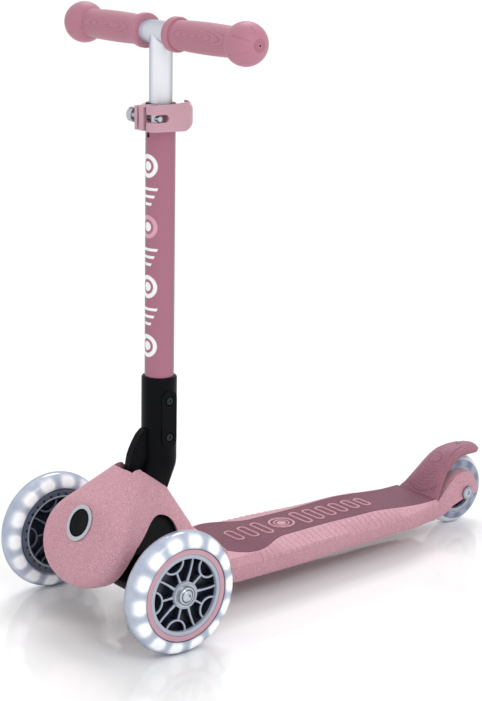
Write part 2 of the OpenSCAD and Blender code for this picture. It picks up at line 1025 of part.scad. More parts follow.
module clamp_collar() {
    color(pink)
        clamp_frame()
            difference() {
                linear_extrude(clamp_h - 2)
                    difference() {
                        union() {
                            circle(r = collar_d / 2);
                            translate([ear_x[0], ear_y - 7])
                                square([ear_x[1] - ear_x[0], 16]);
                        }
                        circle(r = outer_r + seat_gap);
                        translate([-split / 2, -60])
                            square([split, 60]);
                    }
                translate([0, ear_y, clamp_h / 2])
                    x_cylinder(-40, 40, clamp_bolt_r + seat_gap);
                // room for the washer and the nut
                translate([0, ear_y, clamp_h / 2]) {
                    x_cylinder(-40, ear_x[0], 4.8);
                    x_cylinder(-40, ear_x[0] - 5.9, 7.6);
                }
                // the ears' corners give way to the lever's cam
                translate([pin_x, ear_y, -1])
                    cylinder(h = clamp_h + 2, r = cam_r + 1);
            }
}

module clamp_bolt() {
    color(silver)
        clamp_frame()
            translate([0, ear_y, clamp_h / 2])
                x_cylinder(-20.5, 26, clamp_bolt_r);
}

barrel_r = 3.6;
lever_slot = 2 * clamp_bolt_r + 2.4;

module clamp_barrel() {
    color(silver)
        clamp_frame()
            difference() {
                translate([pin_x, ear_y, 1])
                    cylinder(h = clamp_h - 2, r = barrel_r);
                translate([0, ear_y, clamp_h / 2])
                    x_cylinder(0, 40, clamp_bolt_r + seat_gap);
            }
}

hook = [12.3, 14.1];

module clamp_lever() {
    color(pink)
        clamp_frame()
            difference() {
                linear_extrude(clamp_h)
                    difference() {
                        union() {
                            translate([pin_x, ear_y])
                                circle(r = cam_r);
                            // arm along the near side of the collar
                            polygon([[pin_x + cam_r, ear_y], [24, hook[1]], [21, hook[1]], [18, 0], [pin_x, ear_y]]);
                            // end that curls away behind the collar for the fingers
                            intersection() {
                                difference() {
                                    translate(hook)
                                        circle(r = 11.6);
                                    translate(hook)
                                        circle(r = 8.6);
                                }
                                translate(hook)
                                    polygon([[0, 0], [40, -3], [40, 40], [-18, 38]]);
                            }
                            translate(hook + 10.1 * [cos(115), sin(115)])
                                circle(r = 1.5);
                        }
                        circle(r = lever_in);
                    }
                // the lever turns on the barrel
                translate([pin_x, ear_y, -1])
                    cylinder(h = clamp_h + 2, r = barrel_r + run_gap);
                // slot for the bolt, which also shows the barrel from outside
                translate([0, 0, (clamp_h - lever_slot) / 2]) {
                    translate([pin_x, ear_y])
                        cylinder(h = lever_slot, r = cam_r + 2.4);
                    translate([pin_x, ear_y])
                        cube([20, -ear_y - 12, lever_slot]);
                }
                translate([0, -12, clamp_h / 2])
                    x_cylinder(pin_x, 40, lever_slot / 2);
            }
}

module clamp_washer() {
    color(silver)
        clamp_frame()
            translate([ear_x[0], ear_y, clamp_h / 2])
                difference() {
                    x_cylinder(-1.5, -seat_gap, 4.4);
                    x_cylinder(-5, 5, clamp_bolt_r + seat_gap);
                }
}

module clamp_nut() {
    color(silver)
        clamp_frame()
            translate([ear_x[0] - 1.9, ear_y, clamp_h / 2])
                difference() {
                    union() {
                        x_cylinder(-4.5, 0, 4.5);
                        x_cylinder(-11.9, -4.4, 7.2);
                    }
                    x_cylinder(-20, 5, clamp_bolt_r + run_gap);
                    for (i = [0 : 17])
                        rotate([i * 20, 0, 0])
                            translate([0, 0, 7.3])
                                x_cylinder(-13, -6, 0.55);
                }
}

// ---- bar
insert_l = 230;

module inner_tube() {
    color(silver)
        place()
            column()
                difference() {
                    translate([0, 0, insert_l])
                        cylinder(h = bar_l - insert_l, r = inner_r);
                    translate([0, 0, insert_l - 1])
                        cylinder(h = bar_l - insert_l + 2, r = inner_r - inner_wall);
                    translate([0, 0, bar_l])
                        x_cylinder(-40, 40, inner_r + eps);
                }
}

module tube_bush() {
    color(black)
        place()
            column()
                translate([0, 0, insert_l - 3])
                    difference() {
                        union() {
                            cylinder(h = 3 - seat_gap, r = outer_in_r - run_gap);
                            cylinder(h = 14, r = inner_r - inner_wall - seat_gap);
                        }
                        translate([0, 0, -1])
                            cylinder(h = 20, r = 6);
                    }
}

module handlebar() {
    half = bar_span / 2 - 6;
    color(silver)
        place()
            column()
                translate([0, 0, bar_l])
                    difference() {
                        x_cylinder(-half, half, inner_r);
                        x_cylinder(-half - 1, half + 1, inner_r - inner_wall);
                    }
}

module grip_shape() {
    start = flange_gap / 2;
    ball_x = bar_span / 2;
    ball_r = ball_d / 2;
    difference() {
        x_turned()
            difference() {
                union() {
                    // flange
                    translate([0, start])
                        square([flange_d / 2 - 1.5, 8]);
                    translate([0, start + 1.5])
                        square([flange_d / 2, 4.5]);
                    translate([flange_d / 2 - 1.5, start + 1.5])
                        circle(r = 1.5, $fn = 24);
                    translate([flange_d / 2 - 2, start + 6])
                        circle(r = 2, $fn = 24);
                    // hand part, slightly barrelled
                    intersection() {
                        translate([0, start + 1])
                            square([flange_d, ball_x - start]);
                        translate([grip_d / 2 - 900, (start + ball_x) / 2 - 2])
                            circle(r = 900, $fn = 1600);
                    }
                    // ball
                    intersection() {
                        translate([0, ball_x])
                            circle(r = ball_r);
                        translate([0, 0])
                            square([ball_r + 1, ball_x + ball_r + 1]);
                    }
                }
                // bore for the handlebar
                translate([0, start - 1])
                    square([inner_r + seat_gap, bar_span / 2 - 6 - start + 1 + seat_gap]);
                // small hole and two fine rings at the end
                translate([0, start])
                    square([0.9, 200]);
                for (r = [2.7, 4.6])
                    translate([r, ball_x + sqrt(ball_r * ball_r - r * r)])
                        circle(r = 0.35, $fn = 16);
            }
    }
}

module bar_plugs() {
    half = bar_span / 2 - 6;
    color(black)
        place()
            column()
                translate([0, 0, bar_l])
                    for (s = [-1, 1])
                        translate([s > 0 ? half - 12 : -half, 0, 0])
                            x_cylinder(0, 12, inner_r - inner_wall - seat_gap);
}

// ---- deck
deck_front = 48;
deck_rear = rear_y - rear_r - 11;
arm_in = tyre_w / 2 + 1.9;
arm_out = arm_in + arm_t;
dip_y = deck_rear - 16;
mat_front = 112;
mat_corner = 27;

function outer_half(y) = along([
    [deck_front, deck_w_front / 2 - 6], [120, deck_w_front / 2], [165, deck_w_front / 2],
    [280, deck_w_waist / 2], [345, deck_w_rear / 2 + 5.3], [deck_rear, deck_w_rear / 2 - 6]], y);
function mat_half(y) = along([
    [141, mat_w_front / 2], [192, mat_w_waist / 2 + 0.9], [240, mat_w_waist / 2], [300, mat_w_rear / 2 - 0.5],
    [350, mat_w_rear / 2], [deck_rear, mat_w_rear / 2]], y);
function top_z(y) = along([[0, deck_top], [300, deck_top], [dip_y, deck_top - rear_dip]], y);
function low_z(y) = along([
    [deck_front, deck_bottom + 6], [120, deck_bottom], [330, deck_bottom], [deck_rear, deck_bottom - 4]], y);
function drop(y) = margin_drop * along([[90, 1], [200, 1.1], [294, 1.45], [deck_rear, 0.45]], y);

// how much the pad's rounded front corner takes off its half width
function corner_cut(y) =
    let (d = max(0, y - mat_front))
    d >= mat_corner ? 0 : mat_half(y) * (1 - sqrt(1 - pow(0.97 * (1 - d / mat_corner), 2)));

// half of one section of the deck, from the inside of its lower lip up and over to the middle
function half_ring(y, rib, pocket) =
    let (
        m = mat_half(y) + 0.4, c = m - corner_cut(y), w = outer_half(y), g = w - m,
        t = top_z(y), b = low_z(y), sh = t - drop(y) - 0.8, e = rib * rib_h)
    [
        [w - 8.2, b + 0.2], [w - 5.6, b], [w - 4.4, b + 1.4], [w - 1.2, sh - 3.5], [w - 0.1 + e * 0.6, sh],
        [w - 1.6 + e * 0.6, sh + 2.2 + e], [m + 0.42 * g, t - 0.36 * drop(y) + e], [m + 1.4, t - 0.3],
        [c, t - (pocket > 0 ? 0.1 : 0)], [c - 0.05, t - pocket]
    ];
function half_inside(y) =
    let (m = mat_half(y), w = outer_half(y), t = top_z(y) - mat_t - deck_wall)
    [[m - 2, t], [w - 5, top_z(y) - drop(y) - 3]];
function mirrored(half, y) = concat(
    [for (p = half) [p[0], y, p[1]]],
    [for (i = [len(half) - 1 : -1 : 0]) [-half[i][0], y, half[i][1]]]);
function deck_ring(y, rib, pocket) =
    let (inside = half_inside(y))
    concat(
        mirrored(half_ring(y, rib, pocket), y),
        [for (i = [1, 0]) [-inside[i][0], y, inside[i][1]]],
        [for (i = [0, 1]) [inside[i][0], y, inside[i][1]]]);

rib_step = rib_pitch / 2;
rib_first = 142;
rib_last = 348;
rib_count = floor((rib_last - rib_first) / rib_step);
stations = concat(
    [[deck_front, 0, 0], [66, 0, 0], [mat_front - 0.2, 0, 0], [mat_front, 0, mat_t], [mat_front + 1.5, 0, mat_t],
        [mat_front + 5, 0, mat_t], [mat_front + 10, 0, mat_t], [mat_front + 18, 0, mat_t],
        [mat_front + mat_corner, 0, mat_t]],
    [for (i = [0 : rib_count]) [rib_first + i * rib_step, i % 2, mat_t]],
    [[356, 0, mat_t], [364, 0, mat_t], [372, 0, mat_t], [379, 0, mat_t], [dip_y, 0, mat_t],
        [(dip_y + deck_rear) / 2, 0, mat_t], [deck_rear, 0, mat_t]]);

// the ends of the deck's section, wall by wall
deck_cap = [
    [0, 1, 2, 3, 4, 5, 23], [5, 6, 7, 23], [7, 22, 23], [7, 9, 22], [7, 8, 9], [9, 10, 21, 22],
    [10, 11, 12], [10, 12, 21], [12, 20, 21], [12, 13, 14, 20], [14, 15, 16, 17, 18, 19, 20]
];

module deck_skin() {
    loft([for (k = stations) deck_ring(k[0], k[1], k[2])], deck_cap);
}

// a plate across the deck's hollow
module cross_rib(y, thickness) {
    w = outer_half(y);
    roof = top_z(y) - mat_t - deck_wall / 2;
    side = top_z(y) - drop(y) - 3;
    translate([0, y + thickness / 2, 0])
        rotate([90, 0, 0])
            linear_extrude(thickness)
                polygon([
                    [-w + 6.6, low_z(y) + 1], [w - 6.6, low_z(y) + 1], [w - 4, side], [mat_half(y) - 2, roof],
                    [2 - mat_half(y), roof], [4 - w, side]
                ]);
}

module long_rib(x) {
    steps = [for (i = [0 : 12]) deck_front + 2 + i * (deck_rear - deck_front - 4) / 12];
    across(x - 1, x + 1)
        polygon(concat(
            [for (y = steps) [y, low_z(y) + 1]],
            [for (i = [12 : -1 : 0]) [steps[i], top_z(steps[i]) - mat_t - deck_wall / 2]]));
}

module arm_profile() {
    roof = deck_top - rear_dip - mat_t - deck_wall / 2;
    polygon([
        [deck_rear - 30, deck_bottom - 1], [rear_y - 40, deck_bottom - 4],
        [rear_y - 32, deck_bottom - 2], [rear_y - 20, rear_r - 11], [rear_y - 5, rear_r - 6.5],
        [rear_y + 10, rear_r - 4], [rear_y + 15, rear_r - 2.5], [rear_y + 16.5, rear_r + 1],
        [rear_y + 12, rear_r + 14], [rear_y + 7.5, rear_r + 22], [rear_y + 2, rear_r + 24.6],
        [rear_y - 8, rear_r + 24.6], [rear_y - 16, rear_r + 22.5], [rear_y - 25, rear_r + 16],
        [rear_y - 34, rear_r + 7], [rear_y - 44, rear_r - 2], [deck_rear + 2, rear_r - 2.5],
        [deck_rear - 1.5, roof], [deck_rear - 30, roof]
    ]);
}

module tongue() {
    across(-13, 13)
        polygon([
            [14, 31], [deck_front + 4, 31], [deck_front + 4, 44], [30, 44], [20.2, 44], [11.4, 34]
        ]);
    kingpin_frame()
        translate([0, 0, -boss_start - boss_len])
            cylinder(h = boss_len, r = 9.5);
}

module deck_shell() {
    color(pink)
        place()
            difference() {
                union() {
                    deck_skin();
                    for (x = [-22, 0, 22])
                        long_rib(x);
                    for (i = [1 : 7])
                        cross_rib(deck_front + 2 + i * 43, 2);
                    cross_rib(deck_front + 1.8, 3);
                    cross_rib(deck_rear - 1.8, 3);
                    for (s = [-1, 1])
                        scale([s, 1, 1])
                            across(arm_in, arm_out)
                                arm_profile();
                    tongue();
                }
                kingpin_frame() {
                    translate([0, 0, -60])
                        cylinder(h = 60, r = kingpin_bore_r);
                    // counterbore for the kingpin's head
                    translate([0, 0, -60])
                        cylinder(h = 60 - boss_start - boss_len, r = 8.4);
                    // the barrel's end turns in front of this face
                    translate([0, 0, -boss_start])
                        cylinder(h = 30, r = 30);
                }
                // room for the rear wheel and the brake's barrel
                translate([0, rear_y, rear_r])
                    x_cylinder(-arm_in, arm_in, rear_r + 4);
                translate([0, hinge_y, hinge_z])
                    x_cylinder(-arm_in, arm_in, hinge_r + 1.2);
                translate([-arm_in, hinge_y - 2, hinge_z])
                    cube([2 * arm_in, 40, 60]);
                translate([0, rear_y, rear_r])
                    x_cylinder(-40, 40, axle_r + seat_gap);
                translate([0, hinge_y, hinge_z])
                    x_cylinder(-40, 40, hinge_pin_r + run_gap);
                for (s = [-1, 1])
                    translate([s * screw_x, screw_y, -1])
                        cylinder(h = 100, r = 1.6);
            }
}

module deck_mat() {
    first = mat_front + 0.3;
    rows = concat(
        [first, first + 1.2, first + 4.7, first + 9.7, first + 17.7, first + mat_corner],
        [for (k = stations) if (k[0] > first + mat_corner + 1) k[0]]);
    color(mauve)
        place()
            loft([for (y = rows)
                let (m = mat_half(y) - corner_cut(y - 0.3), t = top_z(y), b = t - mat_t + seat_gap)
                [[-m, y, b], [m, y, b], [m, y, t - 0.4], [m - 0.6, y, t], [0.6 - m, y, t], [-m, y, t - 0.4]]]);
}

// ---- rear axle
module rear_axle_bolt() {
    color(silver)
        rear_wheel_place()
            difference() {
                union() {
                    x_cylinder(-arm_out - nut_t, arm_out + seat_gap, axle_r);
                    x_cylinder(arm_out + seat_gap, arm_out + 2.6, axle_head_d / 2);
                }
                translate([arm_out + 1, 0, 0])
                    rotate([0, 90, 0])
                        cylinder(h = 5, r = 2.9, $fn = 6);
            }
}

module rear_axle_nut() {
    color(silver)
        rear_wheel_place()
            translate([-arm_out - seat_gap - nut_t, 0, 0])
                difference() {
                    rotate([0, 90, 0])
                        cylinder(h = nut_t, r = 7.4, $fn = 6);
                    x_cylinder(-1, nut_t + 1, axle_r + seat_gap);
                }
}

module rear_axle_spacers() {
    color(silver)
        rear_wheel_place()
            for (s = [-1, 1])
                scale([s, 1, 1])
                    difference() {
                        x_cylinder(half_core + seat_gap, arm_in - seat_gap, axle_r + 2.4);
                        x_cylinder(0, 40, axle_r + seat_gap);
                    }
}

// ---- brake
hinge_y = deck_rear + 2.4;
hinge_z = rear_r - 2.5;
hinge_r = 4.2;
hinge_pin_r = 2;

module brake_hinge_pin() {
    color(silver)
        place()
            translate([0, hinge_y, hinge_z])
                x_cylinder(-arm_out + 1, arm_out - 1, hinge_pin_r);
}

// stations of the brake: angle round the rear axle from behind it, extra radius, half width, droop of the edge
clear_r = rear_r + brake_gap;
brake_rows = [
    [176, 3.4, brake_w / 2, 1.5], [168, 1.6, brake_w / 2 - 1, 5], [158, 0.7, brake_w / 2 - 3, 9.5],
    [146, 0.2, brake_w / 2 - 5.5, 12], [134, 0, brake_w / 2 - 8, 12], [121, 0, brake_w / 2 - 10, 10],
    [108, 0.3, brake_w / 2 - 11, 7.5], [96, 1.2, brake_w / 2 - 11.7, 6], [84, 2.8, brake_w / 2 - 12.3, 6],
    [74, 4.6, brake_w / 2 - 13, 6.5], [65, 6.6, brake_w / 2 - 14.6, 6.5], [58, 8.2, brake_w / 2 - 17.5, 5.5],
    [53.5, 8.8, brake_w / 2 - 21, 4]
];
brake_across = [-1, -0.85, -0.6, -0.3, 0, 0.3, 0.6, 0.85, 1];

function brake_point(row, u, inset) =
    let (
        a = row[0], r = clear_r + row[1] - inset,
        y = rear_y + r * cos(a), z = rear_r + r * sin(a),
        fall = row[3] * u * u)
    [u * row[2], y, z - fall];
// an end of a curved sheet, in triangles from one face of the sheet to the other
function strip_cap(n) = [for (i = [0 : n / 2 - 2]) each [[i, i + 1, n - 1 - i], [i + 1, n - 2 - i, n - 1 - i]]];
function brake_ring(row) = concat(
    [for (u = brake_across) brake_point(row, u, brake_t)],
    [for (i = [len(brake_across) - 1 : -1 : 0]) brake_point(row, brake_across[i], 0)]);

module brake_lever() {
    color(mauve)
        place()
            difference() {
                union() {
                    loft([for (row = brake_rows) brake_ring(row)], strip_cap(2 * len(brake_across)));
                    translate([0, hinge_y, hinge_z])
                        x_cylinder(-arm_in + move_gap, arm_in - move_gap, hinge_r);
                    across(-arm_in + move_gap + 0.3, arm_in - move_gap - 0.3)
                        polygon([
                            [hinge_y - 2.2, hinge_z], [hinge_y + 3.6, hinge_z + 1], [hinge_y + 2.4, hinge_z + 7],
                            [hinge_y, hinge_z + 7]
                        ]);
                }
                translate([0, hinge_y, hinge_z])
                    x_cylinder(-60, 60, hinge_pin_r + run_gap);
                // room for the spring's coil
                translate([0, hinge_y, hinge_z])
                    x_cylinder(-spring_notch, spring_notch, hinge_pin_r + 1.8);
                rivet_frame()
                    cylinder(h = 30, r = rivet_r + run_gap, center = true);
            }
}

rivet_r = 1.5;
pad_rows = [brake_rows[6], brake_rows[7], brake_rows[8], brake_rows[9]];
pad_across = [-0.6, -0.3, 0, 0.3, 0.6];
pad_t = 1.4;

// the rivet stands on the brake's crown, halfway between two stations
rivet_from = brake_point(brake_rows[8], 0, 0);
rivet_to = brake_point(brake_rows[9], 0, 0);

module rivet_frame() {
    d = rivet_to - rivet_from;
    translate((rivet_from + rivet_to) / 2)
        rotate([atan2(d[2], d[1]), 0, 0])
            children();
}

// steel shoe under the brake, which rubs on the wheel
module brake_pad() {
    low = brake_t + seat_gap + pad_t;
    color(grey)
        place()
            difference() {
                loft([for (row = pad_rows) concat(
                    [for (u = pad_across) brake_point(row, u, low)],
                    [for (i = [len(pad_across) - 1 : -1 : 0]) brake_point(row, pad_across[i], brake_t + seat_gap)])],
                    strip_cap(2 * len(pad_across)));
                rivet_frame()
                    cylinder(h = 30, r = rivet_r + run_gap, center = true);
            }
}

module brake_rivet() {
    color(silver)
        place()
            rivet_frame() {
                translate([0, 0, -brake_t - pad_t - 0.4])
                    cylinder(h = brake_t + pad_t + 0.5, r = rivet_r);
                translate([0, 0, 0.05])
                    cylinder(h = 0.9, r = 2.6);
                translate([0, 0, -brake_t - pad_t - 1.3])
                    cylinder(h = 0.95, r = 2.4);
            }
}

spring_notch = 3.4;

module brake_spring() {
    color(silver)
        place()
            translate([0, hinge_y, hinge_z])
                for (i = [-2 : 2])
                    translate([1.25 * i, 0, 0])
                        rotate([0, 90, 0])
                            rotate_extrude($fn = 32)
                                translate([hinge_pin_r + 0.9, 0])
                                    circle(r = 0.5, $fn = 8);
}

// ---- nodes
module left_tyre() {
    color(clear_tyre, 0.6)
        left_wheel_place()
            tyre_shape(front_r, front_seat_r);
}

module right_tyre() {
    color(clear_tyre, 0.6)
        right_wheel_place()
            tyre_shape(front_r, front_seat_r);
}

module left_core() {
    color(grey)
        left_wheel_place()
            front_core_shape();
}

module right_core() {
    color(grey)
        right_wheel_place()
            front_core_shape();
}

module left_rim_ring() {
    color(pink)
        left_wheel_place()
            ring_shape();
}

module right_rim_ring() {
    color(pink)
        right_wheel_place()
            ring_shape();
}

module left_lights() {
    color("white")
        left_wheel_place()
            lights_shape();
}

module right_lights() {
    color("white")
        right_wheel_place()
            lights_shape();
}

module left_bearings() {
    color(silver)
        left_wheel_place()
            bearing_pair_shape();
}

module right_bearings() {
    color(silver)
        right_wheel_place()
            bearing_pair_shape();
}

module left_axle_bolt() {
    color(silver)
        left_wheel_place()
            front_bolt_shape();
}

module right_axle_bolt() {
    color(silver)
        right_wheel_place()
            front_bolt_shape();
}

module left_washers() {
    color(silver)
        left_wheel_place()
            washers_shape();
}

module right_washers() {
    color(silver)
        right_wheel_place()
            washers_shape();
}

module left_spacer() {
    color(silver)
        left_wheel_place()
            inner_spacer_shape();
}

module right_spacer() {
    color(silver)
        right_wheel_place()
            inner_spacer_shape();
}

module rear_tyre() {
    color(clear_tyre, 0.6)
        rear_wheel_place()
            rear_tyre_shape();
}

module rear_core() {
    color(grey)
        rear_wheel_place()
            rear_core_shape();
}

module rear_bearings() {
    color(silver)
        rear_wheel_place()
            bearing_pair_shape();
}

module rear_spacer() {
    color(silver)
        rear_wheel_place()
            inner_spacer_shape();
}

module left_grip() {
    color(tube_pink)
        place()
            column()
                translate([0, 0, bar_l])
                    grip_shape();
}

module right_grip() {
    color(tube_pink)
        place()
            column()
                translate([0, 0, bar_l])
                    rotate([0, 0, 180])
                        grip_shape();
}

deck_shell();
deck_mat();
nose_housing();
arch_liners();
button_bezel();
housing_screws();
fold_pin();
fold_pin_nut();
kingpin();
kingpin_nut();
rear_axle_bolt();
rear_axle_nut();
rear_axle_spacers();
rear_spacer();
brake_hinge_pin();
brake_spring();
truck_frame();
steer_bushes();
left_axle_bolt();
right_axle_bolt();
left_washers();
right_washers();
left_spacer();
right_spacer();
left_tyre();
left_core();
left_rim_ring();
left_lights();
left_bearings();
right_tyre();
right_core();
right_rim_ring();
right_lights();
right_bearings();
rear_tyre();
rear_core();
rear_bearings();
brake_lever();
brake_pad();
brake_rivet();
front_button();
fold_latch();
button_spring();
stem_knuckle();
stem_screws();
outer_tube();
guide_bush();
clamp_collar();
clamp_bolt();
clamp_barrel();
clamp_washer();
clamp_lever();
clamp_nut();
inner_tube();
tube_bush();
handlebar();
left_grip();
right_grip();
bar_plugs();
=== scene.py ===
"""Kids' three-wheel folding kick scooter: its looks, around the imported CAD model.
Metres, Z up, the front of the scooter towards -Y, the floor at Z 0."""

import json
import math

import bpy
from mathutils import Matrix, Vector


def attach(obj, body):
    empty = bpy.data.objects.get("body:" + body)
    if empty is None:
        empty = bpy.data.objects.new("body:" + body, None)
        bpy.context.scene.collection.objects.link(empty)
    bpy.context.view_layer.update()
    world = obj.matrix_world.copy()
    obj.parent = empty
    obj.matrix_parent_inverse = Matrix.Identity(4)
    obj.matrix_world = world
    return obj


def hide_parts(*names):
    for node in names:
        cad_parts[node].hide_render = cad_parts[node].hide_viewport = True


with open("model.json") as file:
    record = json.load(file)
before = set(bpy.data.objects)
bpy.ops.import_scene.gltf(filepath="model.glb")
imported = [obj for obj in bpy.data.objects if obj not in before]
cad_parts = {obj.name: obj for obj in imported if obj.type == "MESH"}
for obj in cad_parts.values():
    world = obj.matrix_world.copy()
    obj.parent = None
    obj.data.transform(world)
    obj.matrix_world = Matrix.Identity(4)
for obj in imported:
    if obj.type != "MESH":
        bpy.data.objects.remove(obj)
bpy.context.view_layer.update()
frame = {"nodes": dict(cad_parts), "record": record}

# ---------------------------------------------------------------- measures
MM = 0.001
JOINT = {joint["name"]: joint for joint in frame["record"]["behaviour"]["joints"]}
FRONT_AXLE = Vector(JOINT["left_wheel_spin"]["pos_m"])
REAR_AXLE = Vector(JOINT["rear_wheel_spin"]["pos_m"])
TRACK_HALF = FRONT_AXLE.x
BAR = Vector((0, -152.7 * MM, 566 * MM))  # middle of the handlebar
COLUMN_LEAN = math.radians(1.13)
COLUMN_FOOT_Y = -163.91 * MM  # where the column's axis would meet the floor
TUBE_R = 14.3 * MM  # radius of the outer tube

SMOOTH_CAD = math.radians(32)  # an edge that turns more than this stays crisp
SMOOTH_BUILT = math.radians(50)
HAIR = 0.0001 * MM  # tells a point beside a line from one on it


def srgb(r, g, b):
    """Linear colour of an sRGB colour given as 0 to 255."""
    out = []
    for v in (r, g, b):
        v /= 255
        out.append(v / 12.92 if v <= 0.04045 else ((v + 0.055) / 1.055) ** 2.4)
    return (*out, 1)


# ---------------------------------------------------------------- shader nodes
FLOAT, COLOR, VECTOR = "NodeSocketFloat", "NodeSocketColor", "NodeSocketVector"


def new_group(name, inputs, outputs):
    """An empty shader group with named sockets, and its two end nodes."""
    group = bpy.data.node_groups.new(name, "ShaderNodeTree")
    for label, kind, value in inputs:
        socket = group.interface.new_socket(label, in_out="INPUT", socket_type=kind)
        if value is not None:
            socket.default_value = value
    for label, kind in outputs:
        group.interface.new_socket(label, in_out="OUTPUT", socket_type=kind)
    return group, group.nodes.new("NodeGroupInput"), group.nodes.new("NodeGroupOutput")


def feed(tree, value, socket):
    """Links an input socket to this output, or sets it to this value."""
    if hasattr(value, "is_output"):
        tree.links.new(value, socket)
    else:
        socket.default_value = value


def maths(tree, operation, *values):
    """The result of one Math node."""
    node = tree.nodes.new("ShaderNodeMath")
    node.operation = operation
    for value, socket in zip(values, node.inputs):
        feed(tree, value, socket)
    return node.outputs[0]


def plus(tree, a, b):
    """a + b."""
    return maths(tree, "ADD", a, b)


def minus(tree, a, b):
    """a - b."""
    return maths(tree, "SUBTRACT", a, b)


def times(tree, product, *others):
    """All these values multiplied."""
    for other in others:
        product = maths(tree, "MULTIPLY", product, other)
    return product


def most(tree, greatest, *others):
    """The greatest of these values."""
    for other in others:
        greatest = maths(tree, "MAXIMUM", greatest, other)
    return greatest


def unsigned(tree, value):
    """The size of a value, without its sign."""
    return maths(tree, "ABSOLUTE", value)


def waves(tree, value, rate):
    """Even waves from -1 to 1, rate radians to a unit of value."""
    return maths(tree, "COSINE", times(tree, value, rate))


def length(tree, u, v):
    """The length of the offset u, v."""
    return maths(tree, "SQRT", plus(tree, times(tree, u, u), times(tree, v, v)))


def split(tree, vector):
    """The x, y and z of a place, in that order."""
    node = tree.nodes.new("ShaderNodeSeparateXYZ")
    feed(tree, vector, node.inputs[0])
    return node.outputs


def noise(tree, vector, scale, detail=2.0):
    """Soft random clouds between 0 and 1, scale of them to a metre."""
    node = tree.nodes.new("ShaderNodeTexNoise")
    node.inputs["Detail"].default_value = detail
    feed(tree, vector, node.inputs["Vector"])
    feed(tree, scale, node.inputs["Scale"])
    return node.outputs[0]


def ramp(tree, value, low, high, curve="SMOOTHSTEP"):
    """0 below low and 1 above high, or the other way round if low is the higher."""
    node = tree.nodes.new("ShaderNodeMapRange")
    node.interpolation_type = curve
    turned_round = low > high
    node.inputs["From Min"].default_value = min(low, high)
    node.inputs["From Max"].default_value = max(low, high)
    node.inputs["To Min"].default_value = 1.0 if turned_round else 0.0
    node.inputs["To Max"].default_value = 0.0 if turned_round else 1.0
    feed(tree, value, node.inputs["Value"])
    return node.outputs[0]


def between(tree, value, start, full, last, stop):
    """0 up to start, 1 from full to last, and 0 again from stop on."""
    return times(tree, ramp(tree, value, start, full), ramp(tree, value, stop, last))


def line_at(tree, value, place, half):
    """1 where value is within half of place."""
    return ramp(tree, unsigned(tree, minus(tree, value, place)), half * 1.3, half * 0.7)


def edge_on(tree, low, high):
    """0 where a surface faces the viewer, 1 where it is seen edge on."""
    node = tree.nodes.new("ShaderNodeLayerWeight")
    return ramp(tree, node.outputs["Facing"], low, high)


def tinted(tree, factor, under, over, share=1.0):
    """Colour under, changed to over where factor is 1, by a share."""
    if share < 1:
        factor = times(tree, factor, share)
    mix = tree.nodes.new("ShaderNodeMix")
    mix.data_type = "RGBA"
    feed(tree, factor, mix.inputs["Factor"])
    feed(tree, under, mix.inputs[6])
    feed(tree, over, mix.inputs[7])
    return mix.outputs[2]


def place_group(tree, group, **values):
    """A shader group set into a tree, with its inputs linked or set."""
    node = tree.nodes.new("ShaderNodeGroup")
    node.node_tree = group
    for label, value in values.items():
        feed(tree, value, node.inputs[label])
    return node


# ---------------------------------------------------------------- shared effects
def make_flecks():
    """Small dark and light flecks moulded into a plastic, over faint clouds."""
    fleck_r, light_share, cloud_share = 0.42, 0.14, 0.1
    group, start, end = new_group(
        "Moulded flecks",
        [("Vector", VECTOR, None), ("Base", COLOR, None), ("Dark", COLOR, None),
         ("Light", COLOR, None), ("Size", FLOAT, 900.0), ("Amount", FLOAT, 0.3)],
        [("Color", COLOR)])
    place = start.outputs["Vector"]
    specks = group.nodes.new("ShaderNodeTexVoronoi")
    feed(group, place, specks.inputs["Vector"])
    feed(group, start.outputs["Size"], specks.inputs["Scale"])
    draw = group.nodes.new("ShaderNodeSeparateColor")
    feed(group, specks.outputs["Color"], draw.inputs[0])
    chosen = maths(group, "LESS_THAN", draw.outputs[0], start.outputs["Amount"])
    near = maths(group, "LESS_THAN", specks.outputs["Distance"], fleck_r)
    dark = times(group, chosen, near)
    light = maths(group, "GREATER_THAN", draw.outputs[1], 1 - light_share)
    clouds = ramp(group, noise(group, place, 26.0, 3.0), 0.35, 0.65, "LINEAR")
    colour = tinted(group, clouds, start.outputs["Base"], start.outputs["Dark"], cloud_share)
    colour = tinted(group, light, colour, start.outputs["Light"])
    colour = tinted(group, dark, colour, start.outputs["Dark"])
    feed(group, colour, end.inputs["Color"])
    return group


def make_grain():
    """Fine skin of a spark-eroded mould: a height and a slightly uneven gloss."""
    group, start, end = new_group(
        "Mould grain",
        [("Vector", VECTOR, None), ("Scale", FLOAT, 1400.0), ("Roughness", FLOAT, 0.5),
         ("Spread", FLOAT, 0.24)],
        [("Height", FLOAT), ("Roughness", FLOAT)])
    place = start.outputs["Vector"]
    fine = noise(group, place, start.outputs["Scale"])
    broad = minus(group, noise(group, place, 18.0, 4.0), 0.5)
    swing = times(group, broad, start.outputs["Spread"])
    feed(group, fine, end.inputs["Height"])
    feed(group, plus(group, start.outputs["Roughness"], swing), end.inputs["Roughness"])
    return group


